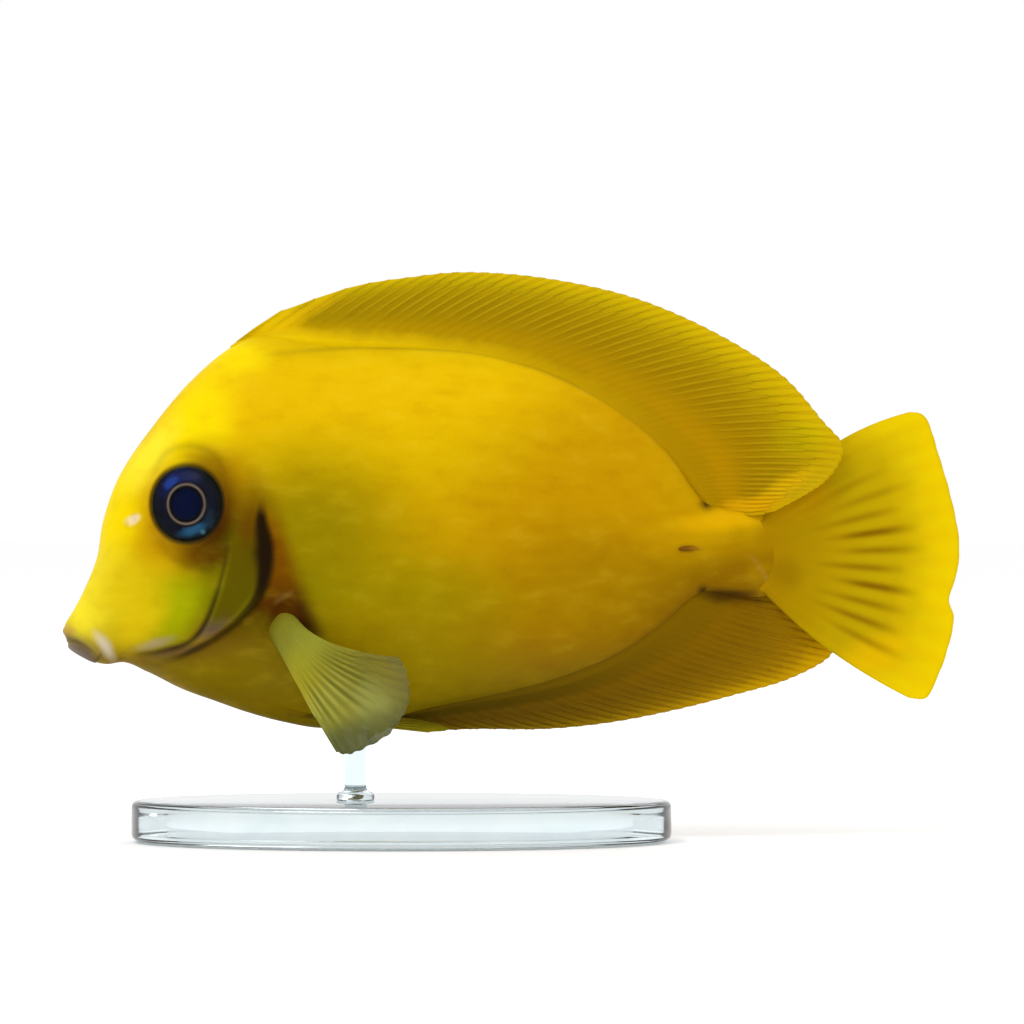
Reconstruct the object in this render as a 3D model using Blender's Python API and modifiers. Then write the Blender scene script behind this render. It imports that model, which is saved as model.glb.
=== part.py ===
"""Young chocolate surgeonfish in its yellow dress, life size, on a clear display stand.

The head points along -X, the fish's left side faces -Y and +Z is up. The origin is on the floor,
under the middle of the fish's length. Sizes are in millimetres and MM turns them into metres.
"""

import math
from collections import namedtuple

import bmesh
import bpy
from mathutils import Matrix, Vector

MM = 0.001
GAP = 0.3  # between two nodes that meet face to face

# The body without its fins, as sections from the snout to the tail root. Each runs between a point on
# the back line and one on the belly line. crown and keel are how sharply it closes at those two ends:
# 1 is an ellipse, less is boxier and more is leaner.
Section = namedtuple("Section", "top_x top_z low_x low_z half_width crown keel")
SECTIONS = (
    Section(-44.75, 20.8, -44.75, 20.8, 0.0, 0.8, 0.8),  # snout tip
    Section(-44.55, 21.7, -44.3, 19.7, 1.35, 0.8, 0.7),  # lips
    Section(-43.65, 23.2, -42.6, 18.2, 2.0, 0.8, 0.65),  # muzzle
    Section(-42.5, 25.5, -40.6, 17.6, 2.4, 0.85, 0.7),  # chin
    Section(-41.4, 28.4, -38.5, 17.75, 2.9, 0.9, 0.85),  # throat notch
    Section(-40.75, 32.2, -35.9, 16.6, 3.6, 0.95, 1.0),  # cheek
    Section(-39.1, 36.6, -32.9, 15.1, 4.4, 0.95, 1.05),  # face
    Section(-36.0, 41.2, -29.6, 13.9, 5.1, 1.0, 1.1),  # brow
    Section(-32.2, 45.75, -26.3, 12.75, 5.7, 1.05, 1.1),  # crown
    Section(-28.0, 49.3, -22.7, 11.8, 6.2, 1.15, 1.1),  # nape
    Section(-24.2, 50.6, -18.9, 11.2, 6.5, 1.3, 1.05),  # shoulder
    Section(-18.6, 49.9, -14.4, 11.6, 6.6, 1.4, 1.0),  # chest
    Section(-11.2, 49.5, -8.6, 12.95, 6.4, 1.45, 1.1),  # belly
    Section(-3.7, 48.55, -2.4, 14.0, 5.8, 1.45, 1.2),  # flank
    Section(3.6, 46.35, 4.0, 15.45, 4.9, 1.4, 1.25),  # loin
    Section(10.0, 43.35, 10.0, 17.6, 3.9, 1.35, 1.3),  # rear flank
    Section(15.2, 39.4, 14.8, 20.65, 2.9, 1.25, 1.25),  # taper
    Section(19.0, 34.3, 18.8, 24.4, 2.15, 1.0, 1.0),  # fin ends
    Section(21.9, 33.05, 22.0, 24.55, 1.75, 0.9, 0.9),  # tail stalk
    Section(25.1, 32.7, 25.4, 24.3, 1.2, 0.8, 0.8),  # tail root
    Section(26.5, 30.8, 26.7, 26.0, 0.75, 0.8, 0.8),  # fin root plate
    Section(27.0, 28.4, 27.0, 28.4, 0.0, 0.8, 0.8),  # end of the spine
)
RINGS_PER_SECTION = 2
BODY_SIDES = 28

# The rear edge of the gill cover, from above the nape to below the throat, where head meets trunk.
GILL_EDGE = (
    (-25.9, 53.0),
    (-25.6, 44.0),
    (-25.2, 37.0),
    (-24.5, 32.5),
    (-23.7, 29.0),
    (-24.4, 25.3),
    (-26.3, 22.7),
    (-29.0, 20.5),
    (-32.4, 18.7),
    (-35.7, 17.5),
    (-39.2, 14.5),
)
GILL_LIFT = 0.45  # how far the cover's rear edge stands proud of the flank
GILL_REACH = 3.0  # how far forward the lift fades out
GILL_TOP_Z = 34.0  # the lift starts below this height
TAIL_CUT_X = 20.3  # where the tail stalk meets the trunk

CHEEK_GROOVE = (
    (-28.05, 29.5),
    (-28.55, 27.0),
    (-29.55, 23.6),
    (-30.75, 21.1),
    (-32.4, 19.7),
    (-34.9, 18.95),
    (-37.2, 18.6),
)
CHEEK_GROOVE_RADIUS = 0.25

EYE_CENTRE = (-32.4, 33.6)
EYE_RADII = (3.62, 2.3, 3.85)
EYE_DEPTH = 1.35  # of its middle under the skin

NOSTRILS = ((-37.45, 32.15, 0.38), (-38.2, 31.65, 0.3))  # x, z, radius

# The lips and the line between them are tapered tubes, given from the middle to one corner: x, y, z and radius.
UPPER_LIP = (
    (-44.2, 0.0, 20.4, 0.55),
    (-43.7, 1.15, 19.95, 0.5),
    (-42.5, 1.75, 19.1, 0.42),
    (-41.3, 1.8, 18.45, 0.25),
)
LOWER_LIP = (
    (-43.95, 0.0, 19.15, 0.5),
    (-43.35, 0.95, 18.7, 0.42),
    (-42.4, 1.4, 18.3, 0.36),
    (-41.4, 1.5, 18.2, 0.22),
)
MOUTH_LINE = (
    (-44.5, 0.0, 19.75, 0.3),
    (-43.85, 1.2, 19.35, 0.26),
    (-42.5, 1.75, 18.7, 0.22),
    (-41.3, 1.85, 18.25, 0.14),
)

BLADE_CENTRE = (18.0, 29.1)  # the folded blade on each side of the tail stalk
BLADE_HALF = (1.5, 0.32, 0.36)

# Each fin is a fan of rays, and its plan gives the rays that shape it, from root to tip. count is how many
# rays it has, of which the first are spines. steps is how many stretches a ray is made in, sheath is the share
# of its length in the fleshy base, and inward is the way its root is sunk into the body.
Ray = namedtuple("Ray", "root_x root_z tip_x tip_z")
Fin = namedtuple("Fin", "rays count spines steps sheath inward")
DORSAL_RAYS = (
    Ray(-27.0, 49.7, -22.6, 52.9),
    Ray(-23.6, 50.2, -16.0, 55.3),
    Ray(-19.6, 50.0, -10.1, 56.3),
    Ray(-15.1, 49.7, -4.3, 56.8),
    Ray(-9.1, 49.3, 3.4, 56.2),
    Ray(-2.1, 48.3, 12.1, 54.3),
    Ray(4.4, 46.0, 20.1, 50.9),
    Ray(9.9, 43.3, 26.9, 46.6),
    Ray(13.4, 40.9, 31.0, 42.0),
    Ray(16.1, 38.6, 33.0, 39.1),
    Ray(18.3, 35.9, 31.0, 35.7),
    Ray(20.6, 32.9, 26.0, 33.1),
)
DORSAL = Fin(DORSAL_RAYS, count=35, spines=8, steps=5, sheath=0.22, inward=(0, 0, -1))
ANAL_RAYS = (
    Ray(-11.3, 12.5, -8.6, 10.9),
    Ray(-8.1, 13.0, -3.3, 11.1),
    Ray(-3.6, 13.8, 3.4, 11.1),
    Ray(1.4, 14.7, 9.9, 11.75),
    Ray(6.4, 16.0, 16.4, 13.0),
    Ray(10.7, 17.9, 22.4, 14.5),
    Ray(14.4, 20.3, 27.9, 16.1),
    Ray(17.1, 22.7, 32.1, 18.5),
    Ray(18.6, 24.1, 30.2, 20.3),
    Ray(20.6, 24.9, 26.2, 24.1),
)
ANAL = Fin(ANAL_RAYS, count=27, spines=3, steps=4, sheath=0.25, inward=(0, 0, 1))
CAUDAL_RAYS = (
    Ray(24.9, 32.2, 41.1, 42.75),
    Ray(25.6, 31.5, 42.25, 40.9),
    Ray(26.1, 30.7, 43.3, 37.0),
    Ray(26.4, 29.8, 44.2, 33.5),
    Ray(26.6, 28.9, 44.75, 30.3),
    Ray(26.6, 28.0, 44.6, 27.0),
    Ray(26.5, 27.1, 43.75, 24.1),
    Ray(26.2, 26.3, 44.2, 22.0),
    Ray(25.9, 25.5, 43.3, 18.5),
    Ray(25.3, 24.8, 41.6, 14.1),
)
CAUDAL = Fin(CAUDAL_RAYS, count=17, spines=0, steps=6, sheath=0.3, inward=(-1, 0, 0))
PECTORAL_RAYS = (
    Ray(-24.7, 21.1, -17.3, 9.4),
    Ray(-24.3, 21.6, -15.9, 9.0),
    Ray(-23.8, 22.3, -13.1, 10.3),
    Ray(-23.2, 22.9, -10.8, 12.3),
    Ray(-22.6, 23.5, -9.9, 15.0),
    Ray(-22.1, 24.1, -10.7, 18.0),
    Ray(-21.4, 25.0, -13.1, 19.5),
)
PECTORAL = Fin(PECTORAL_RAYS, count=13, spines=0, steps=5, sheath=0.3, inward=(0, 1, 0))
PECTORAL_SPREAD = ((8.0,), (9.3,), (9.0,))  # how far the first, middle and last tips stand out
PELVIC_RAYS = (
    Ray(-22.4, 11.9, -8.2, 10.85),
    Ray(-21.2, 12.0, -6.2, 11.1),
    Ray(-20.2, 12.1, -7.4, 11.7),
    Ray(-19.2, 12.2, -10.0, 12.2),
)
PELVIC = Fin(PELVIC_RAYS, count=6, spines=1, steps=4, sheath=0.3, inward=(0, 0, 1))
PELVIC_ROOT_Y = 1.95
PELVIC_TIP_Y = 1.75

ROOT_DEPTH = 1.6  # how deep a fin's root is sunk before the body cuts it
FIN_ROOT = 1.3  # thickness at the fleshy base
FIN_MEMBRANE = 0.55
FIN_MARGIN = 0.45
RAY_RIDGE = 0.34  # how much thicker the fin is along a ray
SPINE_RIDGE = 0.5
RIDGE_FADE = 0.6  # the share of a ridge that is gone at the free edge
FIN_THICKEST = FIN_ROOT + SPINE_RIDGE
RAY_FOOT = 0.27  # half the width of a ridge, as a share of the distance between two rays
DORSAL_BOW = 0.45  # how far a ray's middle bends up
ANAL_BOW = -0.3
CAUDAL_BOW = (1.7, -0.7)  # at the upper and the lower edge
DORSAL_LEAN = 2.3  # the rear lobe's tips lean to the fish's left
ANAL_LEAN = -2.2
CAUDAL_TWIST = 0.11  # sideways offset for each millimetre of height
TAIL_AXIS_Z = 28.4

BASE_CENTRE_X = -11.0
BASE_RADII = (27.0, 17.0)
BASE_THICKNESS = 4.0
BASE_EDGE = 0.7
ROD_X = -15.6
ROD_RADIUS = 1.1
ROD_TOP_Z = 14.0

BLOCK_BOTTOM = 5.0  # the blocks that part the body reach past it on every side
BLOCK_TOP = 60.0
BLOCK_FRONT = -60.0
BLOCK_REAR = 40.0
BLOCK_HALF = 12.0

LEFT = -1
RIGHT = 1
PARTS = "surgeonfish"
CUTTERS = "cutters"


def clear_scene():
    for obj in list(bpy.data.objects):
        bpy.data.objects.remove(obj)
    for name in (PARTS, CUTTERS):
        collection = bpy.data.collections.new(name)
        bpy.context.scene.collection.children.link(collection)


def linear(channel):
    return channel / 12.92 if channel <= 0.04045 else ((channel + 0.055) / 1.055) ** 2.4


def make_material(name, colour, roughness, metallic=0.0, alpha=1.0):
    material = bpy.data.materials.new(name)
    material.use_nodes = True
    shader = material.node_tree.nodes["Principled BSDF"]
    rgb = [linear(int(colour[i : i + 2], 16) / 255) for i in (1, 3, 5)]
    shader.inputs["Base Color"].default_value = (*rgb, 1.0)
    shader.inputs["Roughness"].default_value = roughness
    shader.inputs["Metallic"].default_value = metallic
    shader.inputs["Alpha"].default_value = alpha
    return material


def make_object(name, data, collection, material=None):
    obj = bpy.data.objects.new(name, data)
    bpy.data.collections[collection].objects.link(obj)
    if collection == CUTTERS:
        obj.hide_render = True
        obj.display_type = "WIRE"
    if material:
        data.materials.append(material)
    return obj


def blend(first, second, share):
    return first + (second - first) * share


def smooth(share):
    share = min(1.0, max(0.0, share))
    return share * share * (3 - 2 * share)


def spline(rows, position):
    """A smooth curve through evenly spaced rows of numbers. position runs from 0 to len(rows) - 1."""
    start = min(int(position), len(rows) - 2)
    t = position - start
    before, here = rows[max(start - 1, 0)], rows[start]
    after, beyond = rows[start + 1], rows[min(start + 2, len(rows) - 1)]
    return [
        0.5 * (2 * b + (c - a) * t + (2 * a - 5 * b + 4 * c - d) * t * t + (3 * b - a - 3 * c + d) * t ** 3)
        for a, b, c, d in zip(before, here, after, beyond)
    ]


def along_path(rows, count):
    """count points, evenly spread over a smooth curve's own rows."""
    return [spline(rows, (len(rows) - 1) * i / (count - 1)) for i in range(count)]


def section_at(along):
    """The body's section at a share of the way from snout to tail."""
    return Section(*spline(SECTIONS, along * (len(SECTIONS) - 1)))


def body_point(along, around):
    """A point of the skin. around is 0 at the back line, pi at the belly line, and below 0 on the left."""
    section = section_at(along)
    share = (1 - math.cos(around)) / 2
    sharpness = blend(section.crown, section.keel, share)
    out = section.half_width * abs(math.sin(around)) ** sharpness
    x = blend(section.top_x, section.low_x, share)
    z = blend(section.top_z, section.low_z, share)
    return Vector((x, math.copysign(out, around), z))


def face_outward(form):
    """Turns every face of a closed shape to the outside."""
    bmesh.ops.recalc_face_normals(form, faces=form.faces)
    if form.calc_volume(signed=True) < 0:
        bmesh.ops.reverse_faces(form, faces=form.faces)


def flank_width(x, z):
    """Half the body's width at a point seen from the side."""

    def side(along):
        section = section_at(along)
        down = (section.low_x - section.top_x, section.low_z - section.top_z)
        return down[0] * (z - section.top_z) - down[1] * (x - section.top_x)

    low, high = 0.03, 0.97
    for _ in range(30):
        middle = (low + high) / 2
        if side(middle) > 0:
            low = middle
        else:
            high = middle
    section = section_at(low)
    share = (section.top_z - z) / (section.top_z - section.low_z)
    around = math.acos(1 - 2 * min(0.999, max(0.001, share)))
    return body_point(low, around).y


def gill_lift(x, z):
    """How far the gill cover stands out at a point of the head."""
    near = min(math.hypot(x - px, z - pz) for px, pz in along_path(GILL_EDGE, 60))
    fade = smooth((GILL_TOP_Z - z) / 4)
    return GILL_LIFT * fade * math.exp(-((near / GILL_REACH) ** 2))


def body_mesh(name, lift=False):
    """The whole body as one closed skin, from a sphere whose poles are the snout and the tail's end."""
    form = bmesh.new()
    rings = RINGS_PER_SECTION * (len(SECTIONS) - 1)
    bmesh.ops.create_uvsphere(form, u_segments=BODY_SIDES, v_segments=rings, radius=1.0)
    for vert in form.verts:
        along = math.acos(max(-1.0, min(1.0, vert.co.z))) / math.pi
        around = math.atan2(vert.co.y, vert.co.x)
        point = body_point(along, around)
        if lift:
            point.y += math.copysign(gill_lift(point.x, point.z) * abs(math.sin(around)) ** 0.5, around)
        vert.co = point * MM
    face_outward(form)
    mesh = bpy.data.meshes.new(name)
    form.to_mesh(mesh)
    form.free()
    mesh.shade_smooth()
    return mesh


def mesh_from_curve(curve_object, name):
    """A curve object as a closed mesh object in its place. The curve is removed."""
    bpy.context.view_layer.update()
    graph = bpy.context.evaluated_depsgraph_get()
    mesh = bpy.data.meshes.new_from_object(curve_object.evaluated_get(graph))
    mesh.transform(curve_object.matrix_world)
    bpy.data.objects.remove(curve_object)
    form = bmesh.new()
    form.from_mesh(mesh)
    bmesh.ops.remove_doubles(form, verts=form.verts, dist=1e-6)
    face_outward(form)
    form.to_mesh(mesh)
    form.free()
    return make_object(name, mesh, CUTTERS)


def side_prism(name, outline):
    """A block with this outline in the XZ plane, which reaches past the body on both sides."""
    curve = bpy.data.curves.new(name, "CURVE")
    curve.dimensions = "2D"
    curve.fill_mode = "BOTH"
    curve.extrude = BLOCK_HALF * MM
    line = curve.splines.new("POLY")
    line.points.add(len(outline) - 1)
    for point, (x, z) in zip(line.points, outline):
        point.co = (x * MM, z * MM, 0, 1)
    line.use_cyclic_u = True
    obj = make_object(name, curve, CUTTERS)
    obj.rotation_euler = (math.pi / 2, 0, 0)
    return mesh_from_curve(obj, name)


def tube(name, points, radii, resolution):
    """A bent round bar with its own radius at each point."""
    curve = bpy.data.curves.new(name, "CURVE")
    curve.dimensions = "3D"
    curve.bevel_depth = MM
    curve.bevel_resolution = resolution
    curve.use_fill_caps = True
    line = curve.splines.new("POLY")
    line.points.add(len(points) - 1)
    for point, place, radius in zip(line.points, points, radii):
        point.co = (*(Vector(place) * MM), 1)
        point.radius = radius
    return mesh_from_curve(make_object(name, curve, CUTTERS), name)


def ellipsoid(name, centre, radii, collection, segments=20, rings=10):
    form = bmesh.new()
    bmesh.ops.create_uvsphere(form, u_segments=segments, v_segments=rings, radius=1.0)
    for vert in form.verts:
        # The poles lie on the Y axis, at the middle of an eye
        turned = Vector((vert.co.x, vert.co.z, -vert.co.y))
        vert.co = Vector([(c + r * t) * MM for c, r, t in zip(centre, radii, turned)])
    face_outward(form)
    mesh = bpy.data.meshes.new(name)
    form.to_mesh(mesh)
    form.free()
    mesh.shade_smooth()
    return make_object(name, mesh, collection)


def boolean(obj, operation, others):
    """Joins or cuts an object with each of the others."""
    for other in others:
        modifier = obj.modifiers.new(operation.lower() + " " + other.name, "BOOLEAN")
        modifier.operation = operation
        modifier.object = other
        modifier.solver = "EXACT"


def islands(form):
    """The mesh's separate surfaces, as lists of faces."""
    left, found = set(form.faces), []
    while left:
        stack, island = [left.pop()], []
        while stack:
            face = stack.pop()
            island.append(face)
            for edge in face.edges:
                for other in edge.link_faces:
                    if other in left:
                        left.remove(other)
                        stack.append(other)
        found.append(island)
    return found


def keep_largest(obj):
    """Applies the modifiers and keeps only the largest closed surface."""
    bpy.context.view_layer.update()
    graph = bpy.context.evaluated_depsgraph_get()
    mesh = bpy.data.meshes.new_from_object(obj.evaluated_get(graph))
    obj.modifiers.clear()
    form = bmesh.new()
    form.from_mesh(mesh)
    found = sorted(islands(form), key=lambda island: sum(face.calc_area() for face in island))
    for island in found[:-1]:
        bmesh.ops.delete(form, geom=island, context="FACES")
    form.to_mesh(mesh)
    form.free()
    mesh.name = obj.name
    mesh.shade_smooth()
    mesh.set_sharp_from_angle(angle=math.radians(40))
    obj.data = mesh


def gill_line(offset):
    """The gill edge, moved to the rear by offset along its own normal."""
    steps = 41
    points = along_path(GILL_EDGE, steps)
    moved = []
    for i, (x, z) in enumerate(points):
        ahead, behind = points[min(i + 1, steps - 1)], points[max(i - 1, 0)]
        run = Vector((ahead[0] - behind[0], ahead[1] - behind[1])).normalized()
        moved.append((x - run.y * offset, z + run.x * offset))
    return moved


def mouth_tube(name, half, steps=11):
    """A tube along the mouth, from the left corner round the front to the right one."""
    left = [(x, -y, z, radius) for x, y, z, radius in half[:0:-1]]
    rows = along_path(left + list(half), steps)
    return tube(name, [row[:3] for row in rows], [row[3] for row in rows], 2)


def cheek_groove(side):
    steps = 12
    rows = along_path(CHEEK_GROOVE, steps)
    points = [(x, side * (flank_width(x, z) + gill_lift(x, z) * 0.9), z) for x, z in rows]
    radii = [CHEEK_GROOVE_RADIUS * (0.4 + 0.6 * math.sin(math.pi * i / (steps - 1))) for i in range(steps)]
    return tube(f"cheek_groove_{side}", points, radii, 1)


def eye_centre(side):
    x, z = EYE_CENTRE
    return (x, side * (flank_width(x, z) - EYE_DEPTH), z)


def make_head(material):
    """Muzzle, lips, cheeks and gill covers, with cups for the eyes."""
    head = make_object("head", body_mesh("head", lift=True), PARTS, material)
    front = [(BLOCK_FRONT, BLOCK_BOTTOM), (BLOCK_FRONT, BLOCK_TOP)]
    block = side_prism("head_block", front + gill_line(0.0))
    lips = [mouth_tube("upper_lip", UPPER_LIP), mouth_tube("lower_lip", LOWER_LIP)]
    cuts = [mouth_tube("mouth_line", MOUTH_LINE)]
    for side in (LEFT, RIGHT):
        cup_radii = [radius + GAP for radius in EYE_RADII]
        cuts.append(ellipsoid(f"eye_cup_{side}", eye_centre(side), cup_radii, CUTTERS, 20, 10))
        cuts.append(cheek_groove(side))
        for i, (x, z, radius) in enumerate(NOSTRILS):
            place = (x, side * flank_width(x, z), z)
            cuts.append(ellipsoid(f"nostril_{i}_{side}", place, (radius, radius * 1.2, radius), CUTTERS, 8, 5))
    boolean(head, "INTERSECT", [block])
    boolean(head, "UNION", lips)
    boolean(head, "DIFFERENCE", cuts)
    keep_largest(head)


def blade_shape(name, side, extra, collection):
    """The folded blade beside the tail stalk, an almond that lies along the body."""
    x, z = BLADE_CENTRE
    centre = (x, side * flank_width(x, z), z)
    return ellipsoid(name, centre, [half + extra for half in BLADE_HALF], collection, 8, 6)


def make_trunk(material):
    """From the gill edge to the tail stalk, with the grooves of the folded blades."""
    trunk = make_object("trunk", body_mesh("trunk"), PARTS, material)
    rear = [(TAIL_CUT_X, BLOCK_BOTTOM), (TAIL_CUT_X, BLOCK_TOP)]
    block = side_prism("trunk_block", gill_line(GAP) + rear)
    boolean(trunk, "INTERSECT", [block])
    grooves = [blade_shape(f"blade_groove_{side}", side, GAP, CUTTERS) for side in (LEFT, RIGHT)]
    boolean(trunk, "DIFFERENCE", grooves)
    keep_largest(trunk)


def make_tail_stalk(material):
    stalk = make_object("tail_stalk", body_mesh("tail_stalk"), PARTS, material)
    start = TAIL_CUT_X + GAP
    low = [(start, BLOCK_BOTTOM), (BLOCK_REAR, BLOCK_BOTTOM)]
    block = side_prism("stalk_block", low + [(BLOCK_REAR, BLOCK_TOP), (start, BLOCK_TOP)])
    boolean(stalk, "INTERSECT", [block])
    keep_largest(stalk)


def fin_thickness(fin, along):
    """From the fleshy base over the membrane to the free edge."""
    if along < fin.sheath:
        return blend(FIN_ROOT, FIN_MEMBRANE, smooth(along / fin.sheath))
    return blend(FIN_MEMBRANE, FIN_MARGIN, smooth((along - fin.sheath) / (1 - fin.sheath)))


def make_fin(name, fin, place, material, body_cutter):
    """A fin as a thin fan whose rays are ridges, each raised between two columns of points at its feet.

    place(ray, across, along) gives a point of the fin's middle sheet.
    """
    columns = 3 * fin.count - 3
    form = bmesh.new()
    bmesh.ops.create_grid(form, x_segments=columns, y_segments=fin.steps, size=0.5)
    thickness = []
    for vert in form.verts:
        column = round((vert.co.x + 0.5) * columns)
        number, part = round(column / 3), (column + 1) % 3 - 1
        across = (number + part * RAY_FOOT) / (fin.count - 1)
        along = min(1.0, max(0.0, vert.co.y + 0.5))
        thick = fin_thickness(fin, along)
        if part == 0 and along > 0:
            ridge = SPINE_RIDGE if number < fin.spines else RAY_RIDGE
            thick += ridge * (1 - RIDGE_FADE * along ** 3)
        thickness.append(thick)
        point = place(Ray(*spline(fin.rays, across * (len(fin.rays) - 1))), across, along)
        if along == 0:
            point = point + Vector(fin.inward) * ROOT_DEPTH
        vert.co = point * MM
    # Split into triangles before it gets its thickness, so that both faces are split alike
    bmesh.ops.triangulate(form, faces=form.faces)
    bmesh.ops.recalc_face_normals(form, faces=form.faces)
    mesh = bpy.data.meshes.new(name)
    form.to_mesh(mesh)
    form.free()
    obj = make_object(name, mesh, PARTS, material)
    group = obj.vertex_groups.new(name="thickness")
    for index, thick in enumerate(thickness):
        group.add([index], thick / FIN_THICKEST, "REPLACE")
    solid = obj.modifiers.new("thickness", "SOLIDIFY")
    solid.thickness = FIN_THICKEST * MM
    solid.offset = 0.0
    solid.vertex_group = group.name
    boolean(obj, "DIFFERENCE", [body_cutter])
    keep_largest(obj)
    return obj


def upright_place(bow, lean):
    """A fin in the mid-plane. bow(across) bends its rays up or down and lean(across, z) bends them aside."""

    def place(ray, across, along):
        root, tip = Vector((ray.root_x, 0, ray.root_z)), Vector((ray.tip_x, 0, ray.tip_z))
        up = Vector((root.z - tip.z, 0, tip.x - root.x)).normalized()
        point = root.lerp(tip, along) + up * bow(across) * 4 * along * (1 - along)
        point.y = -lean(across, point.z) * along * along
        return point

    return place


def make_dorsal_fin(material, body_cutter):
    def bow(across):
        return DORSAL_BOW * smooth(across * 4)

    def lean(across, _z):
        return DORSAL_LEAN * smooth((across - 0.45) / 0.5)

    make_fin("dorsal_fin", DORSAL, upright_place(bow, lean), material, body_cutter)


def make_anal_fin(material, body_cutter):
    def lean(across, _z):
        return ANAL_LEAN * smooth((across - 0.4) / 0.5)

    make_fin("anal_fin", ANAL, upright_place(lambda across: ANAL_BOW, lean), material, body_cutter)


def make_caudal_fin(material, body_cutter):
    upper, lower = CAUDAL_BOW

    def bow(across):
        return upper * smooth(1 - across * 2.5) + lower * smooth((across - 0.6) * 2.5)

    def lean(_across, z):
        return CAUDAL_TWIST * (TAIL_AXIS_Z - z)

    make_fin("caudal_fin", CAUDAL, upright_place(bow, lean), material, body_cutter)


def right_copy(left, name):
    """The same piece on the fish's right side."""
    mesh = left.data.copy()
    mesh.name = name
    mesh.transform(Matrix.Diagonal((1, -1, 1, 1)))
    mesh.flip_normals()
    make_object(name, mesh, PARTS)


def make_pectoral_fins(material, body_cutter):
    """Held out and down from the flanks, as when the fish brakes."""

    def place(ray, across, along):
        skin = flank_width(ray.root_x, ray.root_z)
        spread = spline(PECTORAL_SPREAD, across * 2)[0]
        out = skin + spread * (0.75 * along + 0.25 * along * along)
        return Vector((blend(ray.root_x, ray.tip_x, along), -out, blend(ray.root_z, ray.tip_z, along)))

    left = make_fin("pectoral_fin_left", PECTORAL, place, material, body_cutter)
    right_copy(left, "pectoral_fin_right")


def make_pelvic_fins(material, body_cutter):
    """Folded back under the belly."""

    def place(ray, _across, along):
        out = blend(PELVIC_ROOT_Y, PELVIC_TIP_Y, along)
        return Vector((blend(ray.root_x, ray.tip_x, along), -out, blend(ray.root_z, ray.tip_z, along)))

    left = make_fin("pelvic_fin_left", PELVIC, place, material, body_cutter)
    right_copy(left, "pelvic_fin_right")


def make_eye(side, material):
    name = "eye_left" if side == LEFT else "eye_right"
    eye = ellipsoid(name, eye_centre(side), EYE_RADII, PARTS, 20, 9)
    eye.data.materials.append(material)


def make_blade(side, material):
    name = "tail_blade_left" if side == LEFT else "tail_blade_right"
    blade = blade_shape(name, side, 0.0, PARTS)
    blade.data.materials.append(material)


def make_stand(material, body_cutter):
    """A clear oval plate with one rod up to the belly."""
    bpy.ops.mesh.primitive_cylinder_add(vertices=40, radius=MM, depth=BASE_THICKNESS * MM)
    base = bpy.context.object
    base.name = base.data.name = "stand_base"
    base.scale = (*BASE_RADII, 1.0)
    bpy.ops.object.transform_apply(location=False, rotation=False, scale=True)
    base.location = (BASE_CENTRE_X * MM, 0, BASE_THICKNESS / 2 * MM)
    edge = base.modifiers.new("edge", "BEVEL")
    edge.width = BASE_EDGE * MM
    edge.segments = 2
    edge.limit_method = "ANGLE"
    edge.angle_limit = math.radians(60)
    low = BASE_THICKNESS + GAP
    bpy.ops.mesh.primitive_cylinder_add(vertices=16, radius=ROD_RADIUS * MM, depth=(ROD_TOP_Z - low) * MM)
    rod = bpy.context.object
    rod.name = rod.data.name = "stand_rod"
    rod.location = (ROD_X * MM, 0, (ROD_TOP_Z + low) / 2 * MM)
    for obj in (base, rod):
        for owner in obj.users_collection:
            owner.objects.unlink(obj)
        bpy.data.collections[PARTS].objects.link(obj)
        obj.data.materials.append(material)
    boolean(rod, "DIFFERENCE", [body_cutter])
    keep_largest(rod)


def main():
    clear_scene()
    skin = make_material("yellow_skin", "#e3b505", 0.42)
    membrane = make_material("fin_membrane", "#c79c08", 0.45, alpha=0.95)
    pale_membrane = make_material("pale_fin_membrane", "#b9b04a", 0.4, alpha=0.7)
    eye = make_material("eye", "#101a33", 0.08)
    blade = make_material("blade", "#7a4a12", 0.35)
    acrylic = make_material("clear_acrylic", "#eef3f4", 0.05, alpha=0.35)

    body_cutter = make_object("body_cutter", body_mesh("body_cutter"), CUTTERS)
    grow = body_cutter.modifiers.new("grow", "DISPLACE")
    grow.strength = GAP * MM
    grow.mid_level = 0.0

    make_head(skin)
    make_trunk(skin)
    make_tail_stalk(skin)
    make_dorsal_fin(membrane, body_cutter)
    make_anal_fin(membrane, body_cutter)
    make_caudal_fin(membrane, body_cutter)
    make_pectoral_fins(pale_membrane, body_cutter)
    make_pelvic_fins(membrane, body_cutter)
    for side in (LEFT, RIGHT):
        make_eye(side, eye)
        make_blade(side, blade)
    make_stand(acrylic, body_cutter)


if __name__ == "__main__":
    main()
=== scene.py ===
"""A young chocolate surgeonfish in its yellow dress, life size, held over a clear oval plate by one rod.

The head is towards -X, the fish's left side towards -Y, and the floor is at z = 0. Sizes are in millimetres
until a mesh is written, which is in metres as the frame is.
"""

import logging
import math
from dataclasses import dataclass, field, replace
from enum import Enum

import bmesh
import bpy
import numpy as np
from bpy.types import Material, Mesh, Node, NodeSocket, NodeTree, Object, bpy_prop_collection
from mathutils import Matrix


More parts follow.
